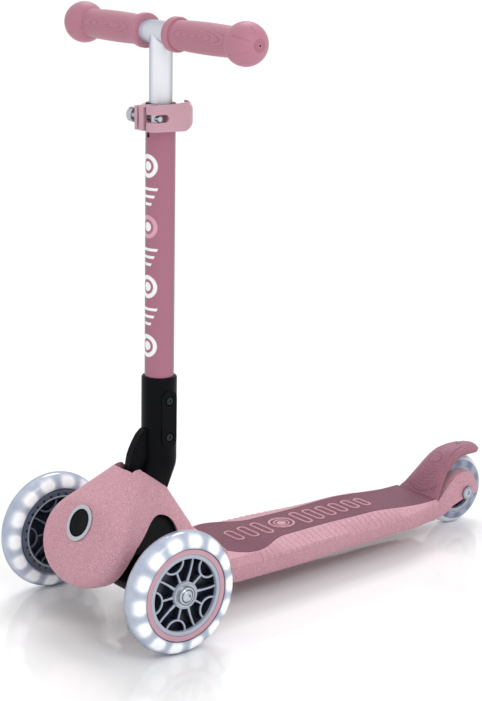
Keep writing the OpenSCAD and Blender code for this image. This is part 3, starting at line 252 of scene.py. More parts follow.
def make_drawn():
    """Fine lines along one axis, as on drawn tube and turned metal."""
    group, start, end = new_group(
        "Drawn lines",
        [("Vector", VECTOR, None), ("Stretch", VECTOR, (900.0, 900.0, 6.0)),
         ("Roughness", FLOAT, 0.3), ("Spread", FLOAT, 0.1)],
        [("Height", FLOAT), ("Roughness", FLOAT)])
    scaled = group.nodes.new("ShaderNodeVectorMath")
    scaled.operation = "MULTIPLY"
    feed(group, start.outputs["Vector"], scaled.inputs[0])
    feed(group, start.outputs["Stretch"], scaled.inputs[1])
    lines = noise(group, scaled.outputs[0], 1.0, 3.0)
    swing = times(group, minus(group, lines, 0.5), start.outputs["Spread"])
    feed(group, lines, end.inputs["Height"])
    feed(group, plus(group, start.outputs["Roughness"], swing), end.inputs["Roughness"])
    return group


def make_polar():
    """Radius and angle about an axis along X through the point Y, Z."""
    group, start, end = new_group(
        "Round an axle", [("Vector", VECTOR, None), ("Y", FLOAT, 0.0), ("Z", FLOAT, 0.0)],
        [("Radius", FLOAT), ("Angle", FLOAT)])
    y, z = split(group, start.outputs["Vector"])[1:]
    y = minus(group, y, start.outputs["Y"])
    z = minus(group, z, start.outputs["Z"])
    feed(group, length(group, y, z), end.inputs["Radius"])
    feed(group, maths(group, "ARCTAN2", z, y), end.inputs["Angle"])
    return group


POLAR = make_polar()


def round_axle(tree, vector, axle):
    """Radius and angle of a place about an axle, or about the handlebar."""
    polar = place_group(tree, POLAR, Vector=vector, Y=axle.y, Z=axle.z)
    return polar.outputs["Radius"], polar.outputs["Angle"]


def make_glow():
    """Soft round patches of light in a clear front tyre, one for each light in the wheel."""
    lights_r, core, reach, unevenness = 51.8 * MM, 0.6 * MM, 9.8 * MM, 0.8
    group, start, end = new_group(
        "Lights in the tyre", [("Vector", VECTOR, None), ("Count", FLOAT, 14.0)], [("Mask", FLOAT)])
    place = start.outputs["Vector"]
    radius, angle = round_axle(group, place, FRONT_AXLE)
    uneven = times(group, noise(group, place, 60.0), unevenness)
    along = ramp(group, plus(group, waves(group, angle, start.outputs["Count"]), uneven), -1.5, 1.15)
    across = ramp(group, unsigned(group, minus(group, radius, lights_r)), reach, core)
    patch = times(group, maths(group, "POWER", along, 1.5), across)
    feed(group, ramp(group, patch, 0.0, 0.8), end.inputs["Mask"])
    return group


def make_carving():
    """Grooves of the grips: nested long ovals on the handle, rings and rays on the ball."""
    panels, panel_turn, handle_r = 3, 3.36, 19.5 * MM
    oval_x, oval_squash, oval_pitch = 74 * MM, 0.22, 2.7 * MM
    cap_x, ball_x = 142 * MM, 122 * MM
    ray_count, ray_wander, ray_depth = 7.0, 120.0, 0.5
    group, start, end = new_group(
        "Carved grip", [("Vector", VECTOR, None)], [("Groove", FLOAT), ("Dot", FLOAT)])
    place = start.outputs["Vector"]
    x = unsigned(group, split(group, place)[0])
    radius, angle = round_axle(group, place, BAR)
    wobble = times(group, minus(group, noise(group, place, 55.0, 1.0), 0.5), 4 * MM)
    # ovals on three panels round the handle, one of them facing forward
    turn = maths(group, "PINGPONG", plus(group, angle, panel_turn), math.pi / panels)
    along = times(group, minus(group, x, oval_x), oval_squash)
    out = plus(group, length(group, along, times(group, turn, handle_r)), wobble)
    ovals = ramp(group, waves(group, out, math.tau / oval_pitch), 0.55, 0.95)
    ovals = times(group, ovals, between(group, x, 33.5 * MM, 42 * MM, 112 * MM, 119 * MM))
    # two rings and a dot on the end of the ball, and rays down its side
    cap = ramp(group, x, cap_x, cap_x + 1.5 * MM)
    rings = most(group, line_at(group, radius, 3.4 * MM, 0.5 * MM),
                 line_at(group, radius, 5.6 * MM, 0.5 * MM))
    rings = times(group, rings, cap)
    rays = plus(group, waves(group, angle, ray_count), times(group, wobble, ray_wander))
    rays = times(group, ramp(group, rays, 0.93, 0.985), ramp(group, radius, 8.5 * MM, 11 * MM))
    rays = times(group, rays, ramp(group, x, ball_x, ball_x + 4 * MM), ray_depth)
    feed(group, most(group, ovals, rings, rays), end.inputs["Groove"])
    feed(group, times(group, ramp(group, radius, 1.3 * MM, 0.8 * MM), cap), end.inputs["Dot"])
    return group


FLECKS, GRAIN, DRAWN = make_flecks(), make_grain(), make_drawn()
GLOW, CARVING = make_glow(), make_carving()

# ---------------------------------------------------------------- materials
FLECK_SIZE = 1300.0  # flecks to a metre
ALONG_Z = (700.0, 700.0, 8.0)  # drawn lines along the column
ROUND_X = (500.0, 60.0, 60.0)  # turned lines round an axle


def blank(name):
    """A new material: its tree, its Principled shader and the Object coordinates."""
    material = bpy.data.materials.new(name)
    material.use_nodes = True
    tree = material.node_tree
    coords = tree.nodes.new("ShaderNodeTexCoord")
    return material, tree, tree.nodes["Principled BSDF"], coords.outputs["Object"]


def reopened(material):
    """Tree, shader and Object coordinates of a material that gets more on top."""
    tree = material.node_tree
    return tree, tree.nodes["Principled BSDF"], tree.nodes["Texture Coordinate"].outputs["Object"]


def marked(tree, shader, factor, colour, share):
    """Changes a shader's colour to another where factor is 1, by a share."""
    socket = shader.inputs["Base Color"]
    feed(tree, tinted(tree, factor, socket.links[0].from_socket, colour, share), socket)


def covered(tree, shader, colour, skin, strength, depth):
    """Gives a shader its colour, and the gloss and relief of a grain or of drawn lines."""
    feed(tree, colour, shader.inputs["Base Color"])
    feed(tree, skin.outputs["Roughness"], shader.inputs["Roughness"])
    relief(tree, shader, skin.outputs["Height"], strength, depth)


def relief(tree, shader, height, strength, depth):
    """Bumps a shader's surface."""
    node = tree.nodes.new("ShaderNodeBump")
    node.inputs["Strength"].default_value = strength
    node.inputs["Distance"].default_value = depth
    feed(tree, height, node.inputs["Height"])
    feed(tree, node.outputs[0], shader.inputs["Normal"])


def flecked(name, base, dark, light, amount, rough, coarse):
    """Matte moulded plastic with flecks in it."""
    material, tree, shader, place = blank(name)
    flecks = place_group(tree, FLECKS, Vector=place, Base=base, Dark=dark, Light=light,
                         Size=FLECK_SIZE, Amount=amount)
    grain = place_group(tree, GRAIN, Vector=place, Roughness=rough, Scale=coarse)
    covered(tree, shader, flecks.outputs["Color"], grain, 0.35, 0.2 * MM)
    shader.inputs["Specular IOR Level"].default_value = 0.25
    return material


def moulded(name, base, dark, rough, coarse, strength, specular=0.5):
    """Plain moulded plastic: grain and a faint unevenness of colour."""
    material, tree, shader, place = blank(name)
    grain = place_group(tree, GRAIN, Vector=place, Roughness=rough, Scale=coarse)
    colour = tinted(tree, noise(tree, place, 40.0, 4.0), base, dark)
    covered(tree, shader, colour, grain, strength, 0.2 * MM)
    shader.inputs["Specular IOR Level"].default_value = specular
    return material


def metal(name, base, dark, rough, metallic=1.0):
    """Turned or painted metal, with painted shade where it is seen edge on."""
    edge_shade = 0.16
    material, tree, shader, place = blank(name)
    lines = place_group(tree, DRAWN, Vector=place, Roughness=rough, Stretch=ROUND_X, Spread=0.14)
    face = tinted(tree, noise(tree, place, 30.0), base, dark)
    # painted shade: the colour darkens towards edge_shade of the base where the metal is seen edge
    # on
    rim = tuple(edge_shade * c for c in base[:3]) + (1,)
    colour = tinted(tree, edge_on(tree, 0.25, 0.75), face, rim, 0.75)
    covered(tree, shader, colour, lines, 0.12, 0.1 * MM)
    shader.inputs["Metallic"].default_value = metallic
    return material


def tyre_finish():
    """Clear tyres: painted bluish shade where seen edge on, with lights in the front ones and blocks
    in the rear one.
    """
    rear_blocks = 10.0
    material, tree, shader, place = blank("clear_tyre")
    grain = place_group(tree, GRAIN, Vector=place, Roughness=0.14, Scale=300.0)
    glow = place_group(tree, GLOW, Vector=place).outputs["Mask"]
    body = tinted(tree, noise(tree, place, 90.0), srgb(196, 205, 221), srgb(146, 159, 184))
    radius = round_axle(tree, place, FRONT_AXLE)[0]
    seat = ramp(tree, radius, 49 * MM, 44.5 * MM)
    body = tinted(tree, seat, body, srgb(146, 156, 178), 0.7)
    # painted shade: the tyre goes dark bluish where it is seen edge on
    body = tinted(tree, edge_on(tree, 0.35, 0.9), body, srgb(98, 113, 142))
    radius, angle = round_axle(tree, place, REAR_AXLE)
    band = between(tree, radius, 26.2 * MM, 27.2 * MM, 32.5 * MM, 34.5 * MM)
    blocks = ramp(tree, waves(tree, angle, rear_blocks), -0.9, 0.9)
    hollow = tinted(tree, blocks, srgb(84, 93, 114), srgb(140, 152, 176))
    body = tinted(tree, band, body, hollow, 0.8)
    tread = between(tree, radius, 33.5 * MM, 35 * MM, 44 * MM, 46 * MM)
    body = tinted(tree, tread, body, srgb(238, 243, 250), 0.75)
    body = tinted(tree, glow, body, srgb(250, 252, 255))
    feed(tree, body, shader.inputs["Base Color"])
    feed(tree, grain.outputs["Roughness"], shader.inputs["Roughness"])
    shader.inputs["Emission Color"].default_value = (0.93, 0.97, 1, 1)
    feed(tree, times(tree, glow, 0.1), shader.inputs["Emission Strength"])
    shader.inputs["Coat Weight"].default_value = 0.4
    return material


def core_finish():
    """Wheel core: pale crests in front of a dark web, and ticks on the inner side of the rim."""
    tick_count = 28.0
    material, tree, shader, place = blank("wheel_core")
    grain = place_group(tree, GRAIN, Vector=place, Roughness=0.3, Scale=900.0)
    x, y = split(tree, place)[:2]
    at_front = maths(tree, "LESS_THAN", y, 0.0)
    out = minus(tree, unsigned(tree, x), times(tree, at_front, TRACK_HALF))
    crest = ramp(tree, out, 6.4 * MM, 8.2 * MM)
    colour = tinted(tree, crest, srgb(34, 39, 54), srgb(172, 180, 196))
    inner_crest = ramp(tree, out, -7.4 * MM, -7.8 * MM)
    colour = tinted(tree, inner_crest, colour, srgb(88, 96, 114))
    radius, angle = round_axle(tree, place, FRONT_AXLE)
    inner_face = ramp(tree, out, -9 * MM, -10 * MM)
    ticks = ramp(tree, waves(tree, angle, tick_count), 0.5, 0.7)
    ticks = times(tree, ticks, line_at(tree, radius, 39.5 * MM, 1.3 * MM), inner_face)
    colour = tinted(tree, ticks, colour, srgb(24, 28, 38))
    pale_line = times(tree, line_at(tree, radius, 37.2 * MM, 0.6 * MM), inner_face)
    colour = tinted(tree, pale_line, colour, srgb(176, 184, 200))
    covered(tree, shader, colour, grain, 0.1, 0.2 * MM)
    return material


def grip_finish():
    """Soft grip rubber with its carved lines, and painted shade that darkens their grooves."""
    material, tree, shader, place = blank("grip_rubber")
    grain = place_group(tree, GRAIN, Vector=place, Roughness=0.5, Scale=800.0)
    carved = place_group(tree, CARVING, Vector=place)
    groove = carved.outputs["Groove"]
    # painted shade: the colour is darker in the carved grooves
    colour = tinted(tree, groove, srgb(180, 121, 139), srgb(160, 98, 117), 0.7)
    colour = tinted(tree, carved.outputs["Dot"], colour, srgb(60, 28, 36))
    feed(tree, colour, shader.inputs["Base Color"])
    feed(tree, grain.outputs["Roughness"], shader.inputs["Roughness"])
    height = minus(tree, times(tree, grain.outputs["Height"], 0.15), groove)
    relief(tree, shader, height, 0.45, 0.4 * MM)
    shader.inputs["Specular IOR Level"].default_value = 0.35
    return material


def ring_finish():
    """Glossy pink plastic, with the dark joint where a wheel's ring meets its tyre."""
    material = moulded("ring_plastic", srgb(200, 157, 170), srgb(192, 148, 162), 0.3, 900.0, 0.12)
    tree, shader, place = reopened(material)
    radius = round_axle(tree, place, FRONT_AXLE)[0]
    joint = between(tree, radius, 44.3 * MM, 44.7 * MM, 47 * MM, 47.5 * MM)
    marked(tree, shader, joint, srgb(58, 56, 70), 0.9)
    return material


def steel_finish():
    """Turned steel, with the dark joints between bolt head, washer and bearing."""
    material = metal("steel", srgb(205, 210, 216), srgb(180, 186, 194), 0.3)
    tree, shader, place = reopened(material)
    radius = round_axle(tree, place, FRONT_AXLE)[0]
    joints = most(tree, line_at(tree, radius, 6 * MM, 0.5 * MM),
                  line_at(tree, radius, 8.8 * MM, 0.6 * MM))
    at_wheel = maths(tree, "GREATER_THAN", unsigned(tree, split(tree, place)[0]), 90 * MM)
    radius = round_axle(tree, place, REAR_AXLE)[0]
    flange = between(tree, radius, 4.2 * MM, 4.8 * MM, 11 * MM, 12 * MM)
    joints = most(tree, times(tree, joints, at_wheel), times(tree, flange, 0.45))
    marked(tree, shader, joints, srgb(66, 74, 92), 0.85)
    return material


def silver_finish():
    """Satin anodised tube, with painted shade: paler where it faces the viewer, darker where it is
    seen edge on.
    """
    material, tree, shader, place = blank("silver_tube")
    lines = place_group(tree, DRAWN, Vector=place, Roughness=0.3, Stretch=ALONG_Z, Spread=0.12)
    # painted shade: pale where the tube faces the viewer, darker where it is seen edge on
    colour = tinted(tree, edge_on(tree, 0.12, 0.8), srgb(238, 241, 247), srgb(158, 165, 180))
    covered(tree, shader, colour, lines, 0.06, 0.1 * MM)
    shader.inputs["Metallic"].default_value = 0.35
    return material


def brake_finish():
    """Flecked brake with its moulded lines: an outline, a ring, curved ribs and a crease, sunk in
    and darkened with painted shade.
    """
    brake_r, line_half = 47.5 * MM, 0.6 * MM
    ring_turn, ring_r = 2.13, 7.8 * MM
    panel_turn, panel_wide, panel_spread = 1.676, 11.2 * MM, 7.8 * MM
    rib_bend, rib_rate, crease_turn, crease_half = 420.0, 72.0, 3.02, 0.012
    material = flecked("mat_plastic", srgb(154, 102, 119), srgb(130, 82, 98), srgb(170, 120, 136),
                       0.2, 0.5, 1400.0)
    tree, shader, place = reopened(material)
    x = unsigned(tree, split(tree, place)[0])
    radius, angle = round_axle(tree, place, REAR_AXLE)
    bent = plus(tree, angle, times(tree, x, x, rib_bend))
    panel = plus(tree, times(tree, minus(tree, angle, panel_turn), panel_spread), panel_wide)
    outline = line_at(tree, minus(tree, x, panel), 0.0, line_half)
    inside = ramp(tree, minus(tree, panel, x), 2.2 * MM, 3 * MM)
    reach = length(tree, x, times(tree, minus(tree, angle, ring_turn), brake_r))
    ring = line_at(tree, reach, ring_r, line_half)
    ribs = ramp(tree, waves(tree, bent, rib_rate), 0.6, 0.9)
    ribs = times(tree, ribs, inside, ramp(tree, reach, ring_r + 2 * MM, ring_r + 2.6 * MM), 0.5)
    marks = times(tree, most(tree, outline, ring, ribs), between(tree, angle, 1.36, 1.4, 2.96, 3.0))
    marks = most(tree, marks, line_at(tree, bent, crease_turn, crease_half))
    marks = times(tree, marks, ramp(tree, radius, 42.5 * MM, 44.5 * MM))
    # painted shade: the sunk lines and the crease are coloured darker
    marked(tree, shader, marks, srgb(104, 62, 78), 0.55)
    bump = tree.nodes["Bump"]
    bump.inputs["Distance"].default_value = 0.5 * MM
    bump.inputs["Strength"].default_value = 0.6
    fine = times(tree, bump.inputs["Height"].links[0].from_socket, 0.15)
    feed(tree, minus(tree, fine, marks), bump.inputs["Height"])
    return material


def deck_finish():
    """Flecked deck plastic, with painted shade darkening the grooves between the margin's ribs."""
    groove_y, groove_pitch = -74 * MM, 7.5 * MM
    material = flecked("deck_plastic", srgb(200, 150, 163), srgb(160, 110, 124),
                       srgb(216, 172, 184), 0.18, 0.55, 1500.0)
    tree, shader, place = reopened(material)
    x, y, z = split(tree, place)
    groove = ramp(tree, waves(tree, minus(tree, y, groove_y), math.tau / groove_pitch), 0.35, 0.95)
    margin = ramp(tree, unsigned(tree, x), 30.5 * MM, 31.5 * MM)
    top = ramp(tree, z, 38.5 * MM, 40.5 * MM)
    span = between(tree, y, -79 * MM, -76 * MM, 127 * MM, 130 * MM)
    # painted shade in the grooves between the margin's ribs
    marked(tree, shader, times(tree, groove, margin, top, span), srgb(140, 92, 108), 0.24)
    return material


def tube_finish():
    """Painted outer tube with plain white ringed dots and tapering bars down its front, and with
    painted shade where it is seen edge on.
    """
    foot_z, pitch, soft = 254 * MM, 58 * MM, 0.2 * MM
    ring_r, ring_half, dot_r = 9.2 * MM, 2 * MM, 4.4 * MM
    bar_wide, bar_taper, bar_gap, bar_half = 8 * MM, 0.45, 7.2 * MM, 1.3 * MM
    white, blush = srgb(246, 247, 249), srgb(216, 160, 178)
    material, tree, shader, place = blank("pink_tube")
    lines = place_group(tree, DRAWN, Vector=place, Roughness=0.32, Stretch=ALONG_Z, Spread=0.1)
    x, y, z = split(tree, place)
    axis_y = plus(tree, times(tree, z, math.tan(COLUMN_LEAN)), COLUMN_FOOT_Y)
    arc = maths(tree, "ARCTAN2", x, minus(tree, axis_y, y))
    arc = unsigned(tree, times(tree, arc, TUBE_R))
    step = maths(tree, "MODULO", minus(tree, z, foot_z), pitch)
    ring_z = minus(tree, step, pitch / 4)
    bar_z = minus(tree, step, pitch * 3 / 4)
    reach = length(tree, arc, ring_z)
    ring = line_at(tree, reach, ring_r, ring_half)
    taper = plus(tree, bar_wide, times(tree, bar_z, bar_taper))
    bars = most(tree, line_at(tree, bar_z, 0.0, bar_half),
                line_at(tree, unsigned(tree, bar_z), bar_gap, bar_half))
    bars = times(tree, bars, ramp(tree, minus(tree, arc, taper), soft, -soft))
    span = between(tree, z, 254.5 * MM, 254.7 * MM, 458.3 * MM, 458.5 * MM)
    marks = times(tree, most(tree, ring, bars), span)
    dot = times(tree, ramp(tree, reach, dot_r + soft, dot_r - soft), span)
    accent = between(tree, z, 369.5 * MM, 369.7 * MM, 399.3 * MM, 399.5 * MM)
    # painted shade: the pink goes darker where the tube is seen edge on
    colour = tinted(tree, edge_on(tree, 0.2, 0.85), srgb(166, 107, 127), srgb(138, 82, 101))
    colour = tinted(tree, marks, colour, tinted(tree, accent, white, blush))
    colour = tinted(tree, dot, colour, white)
    bare = minus(tree, 1.0, most(tree, marks, dot))
    feed(tree, times(tree, bare, 0.4), shader.inputs["Metallic"])
    covered(tree, shader, colour, lines, 0.04, 0.1 * MM)
    shader.inputs["Coat Weight"].default_value = 0.12
    return material


FINISH = {
    "deck_plastic": deck_finish(),
    "mat_rubber": flecked("mat_rubber", srgb(112, 62, 80), srgb(93, 48, 64),
                          srgb(128, 77, 95), 0.2, 0.6, 1400.0),
    "mat_plastic": brake_finish(),
    "bezel_metal": metal("bezel_metal", srgb(204, 207, 214), srgb(188, 191, 199), 0.28),
    "steel": steel_finish(),
    "black_steel": metal("black_steel", srgb(40, 42, 47), srgb(28, 30, 34), 0.35, 0.6),
    "black_plastic": moulded("black_plastic", srgb(14, 15, 18), srgb(8, 9, 11), 0.38, 1100.0, 0.5,
                             specular=0.06),
    "clear_tyre": tyre_finish(),
    "wheel_core": core_finish(),
    "ring_plastic": ring_finish(),
    "light_lens": moulded("light_lens", srgb(250, 252, 255), srgb(240, 244, 250), 0.2, 300.0, 0.05),
    "pink_tube": tube_finish(),
    "silver_tube": silver_finish(),
    "chrome_metal": metal("chrome_metal", srgb(220, 224, 230), srgb(205, 210, 218), 0.15),
    "grip_rubber": grip_finish(),
}


# ---------------------------------------------------------------- hand tools
def alone(piece):
    """Selects this piece and nothing else."""
    bpy.ops.object.select_all(action="DESELECT")
    piece.select_set(True)
    bpy.context.view_layer.objects.active = piece


def opened(piece):
    """Opens a piece for editing with all of it selected."""
    alone(piece)
    bpy.ops.object.mode_set(mode="EDIT")
    bpy.ops.mesh.select_all(action="SELECT")


def picked(piece, wanted):
    """Opens a piece for editing with only the wanted points selected."""
    alone(piece)
    bpy.ops.object.mode_set(mode="EDIT")
    bpy.ops.mesh.select_mode(type="VERT")
    bpy.ops.mesh.select_all(action="DESELECT")
    bpy.ops.object.mode_set(mode="OBJECT")
    for point in piece.data.vertices:
        point.select = wanted(point.co)
    bpy.ops.object.mode_set(mode="EDIT")


def closed():
    """Ends the editing of a piece."""
    bpy.ops.object.mode_set(mode="OBJECT")


def settled(piece):
    """Puts a piece's place, turn and scale into its mesh."""
    alone(piece)
    bpy.ops.object.transform_apply(location=True, rotation=True, scale=True)
    return piece


def doubled(piece):
    """A copy of a piece, with a mesh of its own."""
    twin = piece.copy()
    twin.data = piece.data.copy()
    bpy.context.scene.collection.objects.link(twin)
    alone(twin)
    return twin


def merged(pieces):
    """These pieces as one object."""
    bpy.ops.object.select_all(action="DESELECT")
    for piece in pieces:
        piece.select_set(True)
    bpy.context.view_layer.objects.active = pieces[0]
    bpy.ops.object.join()
    return bpy.context.object


def finished(piece, name, finish, body, smooth, node=None):
    """Names and shades a piece, gives it its finish and its body, and hides the CAD node that it
    stands for.
    """
    alone(piece)
    piece.name = name
    bpy.ops.object.shade_smooth_by_angle(angle=smooth)
    piece.data.materials.clear()
    piece.data.materials.append(FINISH[finish])
    if node:
        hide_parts(node)
    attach(piece, body)


# ---------------------------------------------------------------- pieces dressed as they are
BODY_OF = {
    node: body for body, nodes in frame["record"]["behaviour"]["bodies"].items() for node in nodes}
SLOT_OF = {part["node"]: part["material_slot"] for part in frame["record"]["subparts"]}
BUILT_ANEW = {"left_core": 1, "right_core": -1}  # and the side that each is on, 1 for +X


def dressed(node):
    """A merged, smoothly shaded copy of a CAD node, which then stands for it."""
    piece = doubled(frame["nodes"][node])
    for key in list(piece.keys()):
        del piece[key]
    piece.parent = None
    opened(piece)
    bpy.ops.mesh.remove_doubles(threshold=0.002 * MM)
    closed()
    if piece.data.has_custom_normals:
        bpy.ops.mesh.customdata_custom_splitnormals_clear()
    finished(piece, node + "_finished", SLOT_OF[node], BODY_OF[node], SMOOTH_CAD, node)


for node in sorted(SLOT_OF):
    if node not in BUILT_ANEW:
        dressed(node)

# ---------------------------------------------------------------- the clamp lever's free end
LEVER_WAY = Vector((0.62, 0.784, 0))  # the way that the free end points
FLARE_LONG, FLARE = 9 * MM, 1.1  # how much of the end grows taller, and how much taller
ROUNDING = 0.36  # radius of the corners, as a share of the end's height


def rounded_block(long, wide, tall):
    """A block whose end towards +Y is rounded at its top and bottom."""
    bpy.ops.mesh.primitive_cube_add(size=1, location=(0, 0, 0))
    block = bpy.context.object
    bpy.ops.transform.resize(value=(wide, long, tall))
    settled(block)
    bpy.ops.object.mode_set(mode="EDIT")
    bpy.ops.mesh.select_mode(type="EDGE")
    bpy.ops.mesh.select_all(action="DESELECT")
    closed()
    for edge in block.data.edges:
        a, b = (block.data.vertices[k].co for k in edge.vertices)
        edge.select = a.y > 0 and b.y > 0 and abs(a.x - b.x) > wide / 2
    bpy.ops.object.mode_set(mode="EDIT")
    bpy.ops.mesh.bevel(offset=tall * ROUNDING, segments=10, affect="EDGES")
    closed()
    return block


def round_lever_end(lever):
    """Flares the lever's free end a little and rounds its corners."""
    points = [point.co for point in lever.data.vertices]
    tip = max(LEVER_WAY.dot(co) for co in points)
    top = max(co.z for co in points)
    foot = min(co.z for co in points)
    middle = (top + foot) / 2
    picked(lever, lambda co: LEVER_WAY.dot(co) > tip - FLARE_LONG)
    bpy.ops.transform.resize(value=(1, 1, FLARE), center_override=(0, 0, middle))
    closed()
    long, clearance = 80 * MM, 0.1 * MM
    cutter = rounded_block(long, 500 * MM, (top - foot) * FLARE + clearance)
    cutter.rotation_euler = (0, 0, -math.atan2(LEVER_WAY.x, LEVER_WAY.y))
    cutter.location = LEVER_WAY * (tip - long / 2) + Vector((0, 0, middle))
    settled(cutter)
    alone(lever)
    bpy.ops.object.modifier_add(type="BOOLEAN")
    cut = lever.modifiers[-1]
    cut.operation = "INTERSECT"
    cut.object = cutter
    bpy.ops.object.modifier_apply(modifier=cut.name)
    bpy.data.objects.remove(cutter)
    bpy.ops.object.shade_smooth_by_angle(angle=SMOOTH_CAD)


round_lever_end(bpy.data.objects["clamp_lever_finished"])

# ---------------------------------------------------------------- front wheel cores
CORE_HALF = 11 * MM  # half the width of the rim and of the hub
RING_BORE = 39.6 * MM  # radius inside the pink ring
LIP_FROM, LIP_TALL = 7.6 * MM, 4 * MM  # the rim's outer lip, just inside that ring
RIM_OUTER, RIM_INNER = 43.9 * MM, RING_BORE - LIP_TALL
RIM_SHOULDER = 8.8 * MM  # how far out the rim reaches behind the ring
HUB_BORE, HUB_R = 11.05 * MM, 13.2 * MM
WEB_THICK, WEB_BORE = 2.5 * MM, 12.5 * MM
SOFT_EDGE = 0.7 * MM  # rounding of the lip and the hub
CREST_X, CREST_R, WALL_DEEP = 7.7 * MM, 0.95 * MM, 6.5 * MM  # of petals and spokes
PETALS, PETAL_R, FIRST_PETAL = 5, 11 * MM, math.radians(53)
PETAL_MIDDLE = RIM_INNER + 0.4 * MM
SPOKE_START, SPOKE_BOW = 12.6 * MM, 0.7 * MM
SINK = 1 * MM  # how far the web and the long spokes run into the rim


def turned(x0, x1, r0, r1, rounding=0.4 * MM):
    """A ring round the X axis with rounded edges: a small rectangle spun about the axle."""
    bpy.ops.mesh.primitive_plane_add(size=1, location=(0, 0, 0))
    ring = bpy.context.object
    bpy.ops.transform.resize(value=(x1 - x0, r1 - r0, 1))
    settled(ring)
    opened(ring)
    bpy.ops.mesh.bevel(offset=rounding, segments=3, affect="VERTICES")
    bpy.ops.transform.translate(value=((x0 + x1) / 2, (r0 + r1) / 2, 0))
    bpy.ops.mesh.select_all(action="SELECT")
    bpy.ops.mesh.delete(type="ONLY_FACE")
    bpy.ops.mesh.select_all(action="SELECT")
    bpy.ops.mesh.spin(steps=80, angle=math.tau, center=(0, 0, 0), axis=(1, 0, 0))
    bpy.ops.mesh.select_all(action="SELECT")
    bpy.ops.mesh.remove_doubles(threshold=0.01 * MM)
    bpy.ops.mesh.normals_make_consistent(inside=False)
    closed()
    return ring


def deepened(piece):
    """Pulls all that lies under the crest line down towards the web, so that a wall is left."""
    picked(piece, lambda co: co.x < CREST_X - HAIR)
    bpy.ops.transform.translate(value=(-WALL_DEEP, 0, 0))
    closed()


def petal():
    """An arch that opens to the rim, with a rounded crest."""
    bpy.ops.mesh.primitive_torus_add(
        location=(CREST_X, 0, PETAL_MIDDLE), rotation=(0, math.pi / 2, 0),
        major_radius=PETAL_R, minor_radius=CREST_R, major_segments=48, minor_segments=12)
    arch = settled(bpy.context.object)
    deepened(arch)
    picked(arch, lambda co: co.z > RIM_INNER + 3 * MM)
    bpy.ops.mesh.delete(type="VERT")
    closed()
    return arch


def spoke(start, end, bow):
    """A slightly bowed spoke with a rounded crest, thicker at the hub."""
    foot_long, foot_wide = 0.5 * MM, 1.7
    bpy.ops.mesh.primitive_cylinder_add(
        vertices=16, radius=CREST_R, depth=end - start, location=(CREST_X, 0, (start + end) / 2))
    bar = settled(bpy.context.object)
    opened(bar)
    for share in (0.4, 0.75):
        cut_z = start + share * (end - start)
        bpy.ops.mesh.select_all(action="SELECT")
        bpy.ops.mesh.bisect(plane_co=(0, 0, cut_z), plane_no=(0, 0, 1))
    closed()
    deepened(bar)
    picked(bar, lambda co: start + foot_long < co.z < end - foot_long)
    bpy.ops.transform.translate(value=(0, bow, 0))
    closed()
    picked(bar, lambda co: co.z < start + foot_long)
    bpy.ops.transform.resize(value=(1, foot_wide, 1), center_override=(0, 0, start))
    closed()
    return bar


def repeated(piece, turn, side):
    """A copy of a piece turned about the axle, on one side of the web."""
    twin = doubled(piece)
    bpy.ops.transform.resize(value=(side, 1, 1), center_override=(0, 0, 0))
    bpy.ops.transform.rotate(value=turn, orient_axis="X", center_override=(0, 0, 0))
    return settled(twin)


def core_shape():
    """Rim, hub, dark web, petals and spokes of a front wheel, round the origin."""
    parts = [
        turned(-CORE_HALF, RIM_SHOULDER, RIM_INNER, RIM_OUTER),
        turned(LIP_FROM, CORE_HALF, RIM_INNER, RING_BORE, SOFT_EDGE),
        turned(-CORE_HALF, CORE_HALF, HUB_BORE, HUB_R, SOFT_EDGE),
        turned(-WEB_THICK, 0, WEB_BORE, RIM_INNER + SINK),
    ]
    arch = petal()
    short = spoke(SPOKE_START, PETAL_MIDDLE - PETAL_R, 0.0)
    long = spoke(SPOKE_START, RIM_INNER + SINK, SPOKE_BOW)
    for k in range(PETALS):
        turn = FIRST_PETAL + k * math.tau / PETALS
        for side in (1, -1):
            parts.append(repeated(arch, turn, side))
            parts.append(repeated(short, turn, side))
            parts.append(repeated(long, turn + math.pi / PETALS, side))
    for pattern in (arch, short, long):
        bpy.data.objects.remove(pattern)
    return merged(parts)


shape = core_shape()
for node, side in BUILT_ANEW.items():
    core = repeated(shape, 0, side)
    bpy.ops.transform.translate(value=(side * TRACK_HALF, FRONT_AXLE.y, FRONT_AXLE.z))
    settled(core)
    opened(core)
    bpy.ops.mesh.normals_make_consistent(inside=False)
    closed()
    finished(core, node + "_built", "wheel_core", BODY_OF[node], SMOOTH_BUILT, node)
bpy.data.objects.remove(shape)

# ---------------------------------------------------------------- raised figures on the pad
PAD_Z, PAD_DROP = 50.5 * MM, 6.5 * MM
DROP_Y, DROP_LONG = 84 * MM, 85 * MM  # where the pad's step down starts, and how long it is
PILL_R, PILL_BEAD = 4.4 * MM, 1.1 * MM
RING_Y = -6 * MM


def pad_top(y):
    """Height and slope of the pad along its middle."""
    t = min(1, max(0, (y - DROP_Y) / DROP_LONG))
    return PAD_Z - PAD_DROP * t * t * (3 - 2 * t), -PAD_DROP * 6 * t * (1 - t) / DROP_LONG


def raised_ring(y, radius, bead, stretch=0.0):
    """A rounded ring lying on the pad, pulled out sideways into a pill by stretch."""
    height, slope = pad_top(y)
    bpy.ops.mesh.primitive_torus_add(
        location=(0, y, height), rotation=(math.atan(slope), 0, 0), major_radius=radius,
        minor_radius=bead, major_segments=48, minor_segments=10)
    ring = settled(bpy.context.object)
    if stretch:
        for side in (-1, 1):
            picked(ring, lambda co: co.x * side > HAIR)
            bpy.ops.transform.translate(value=(side * stretch, 0, 0))
            closed()
    return ring


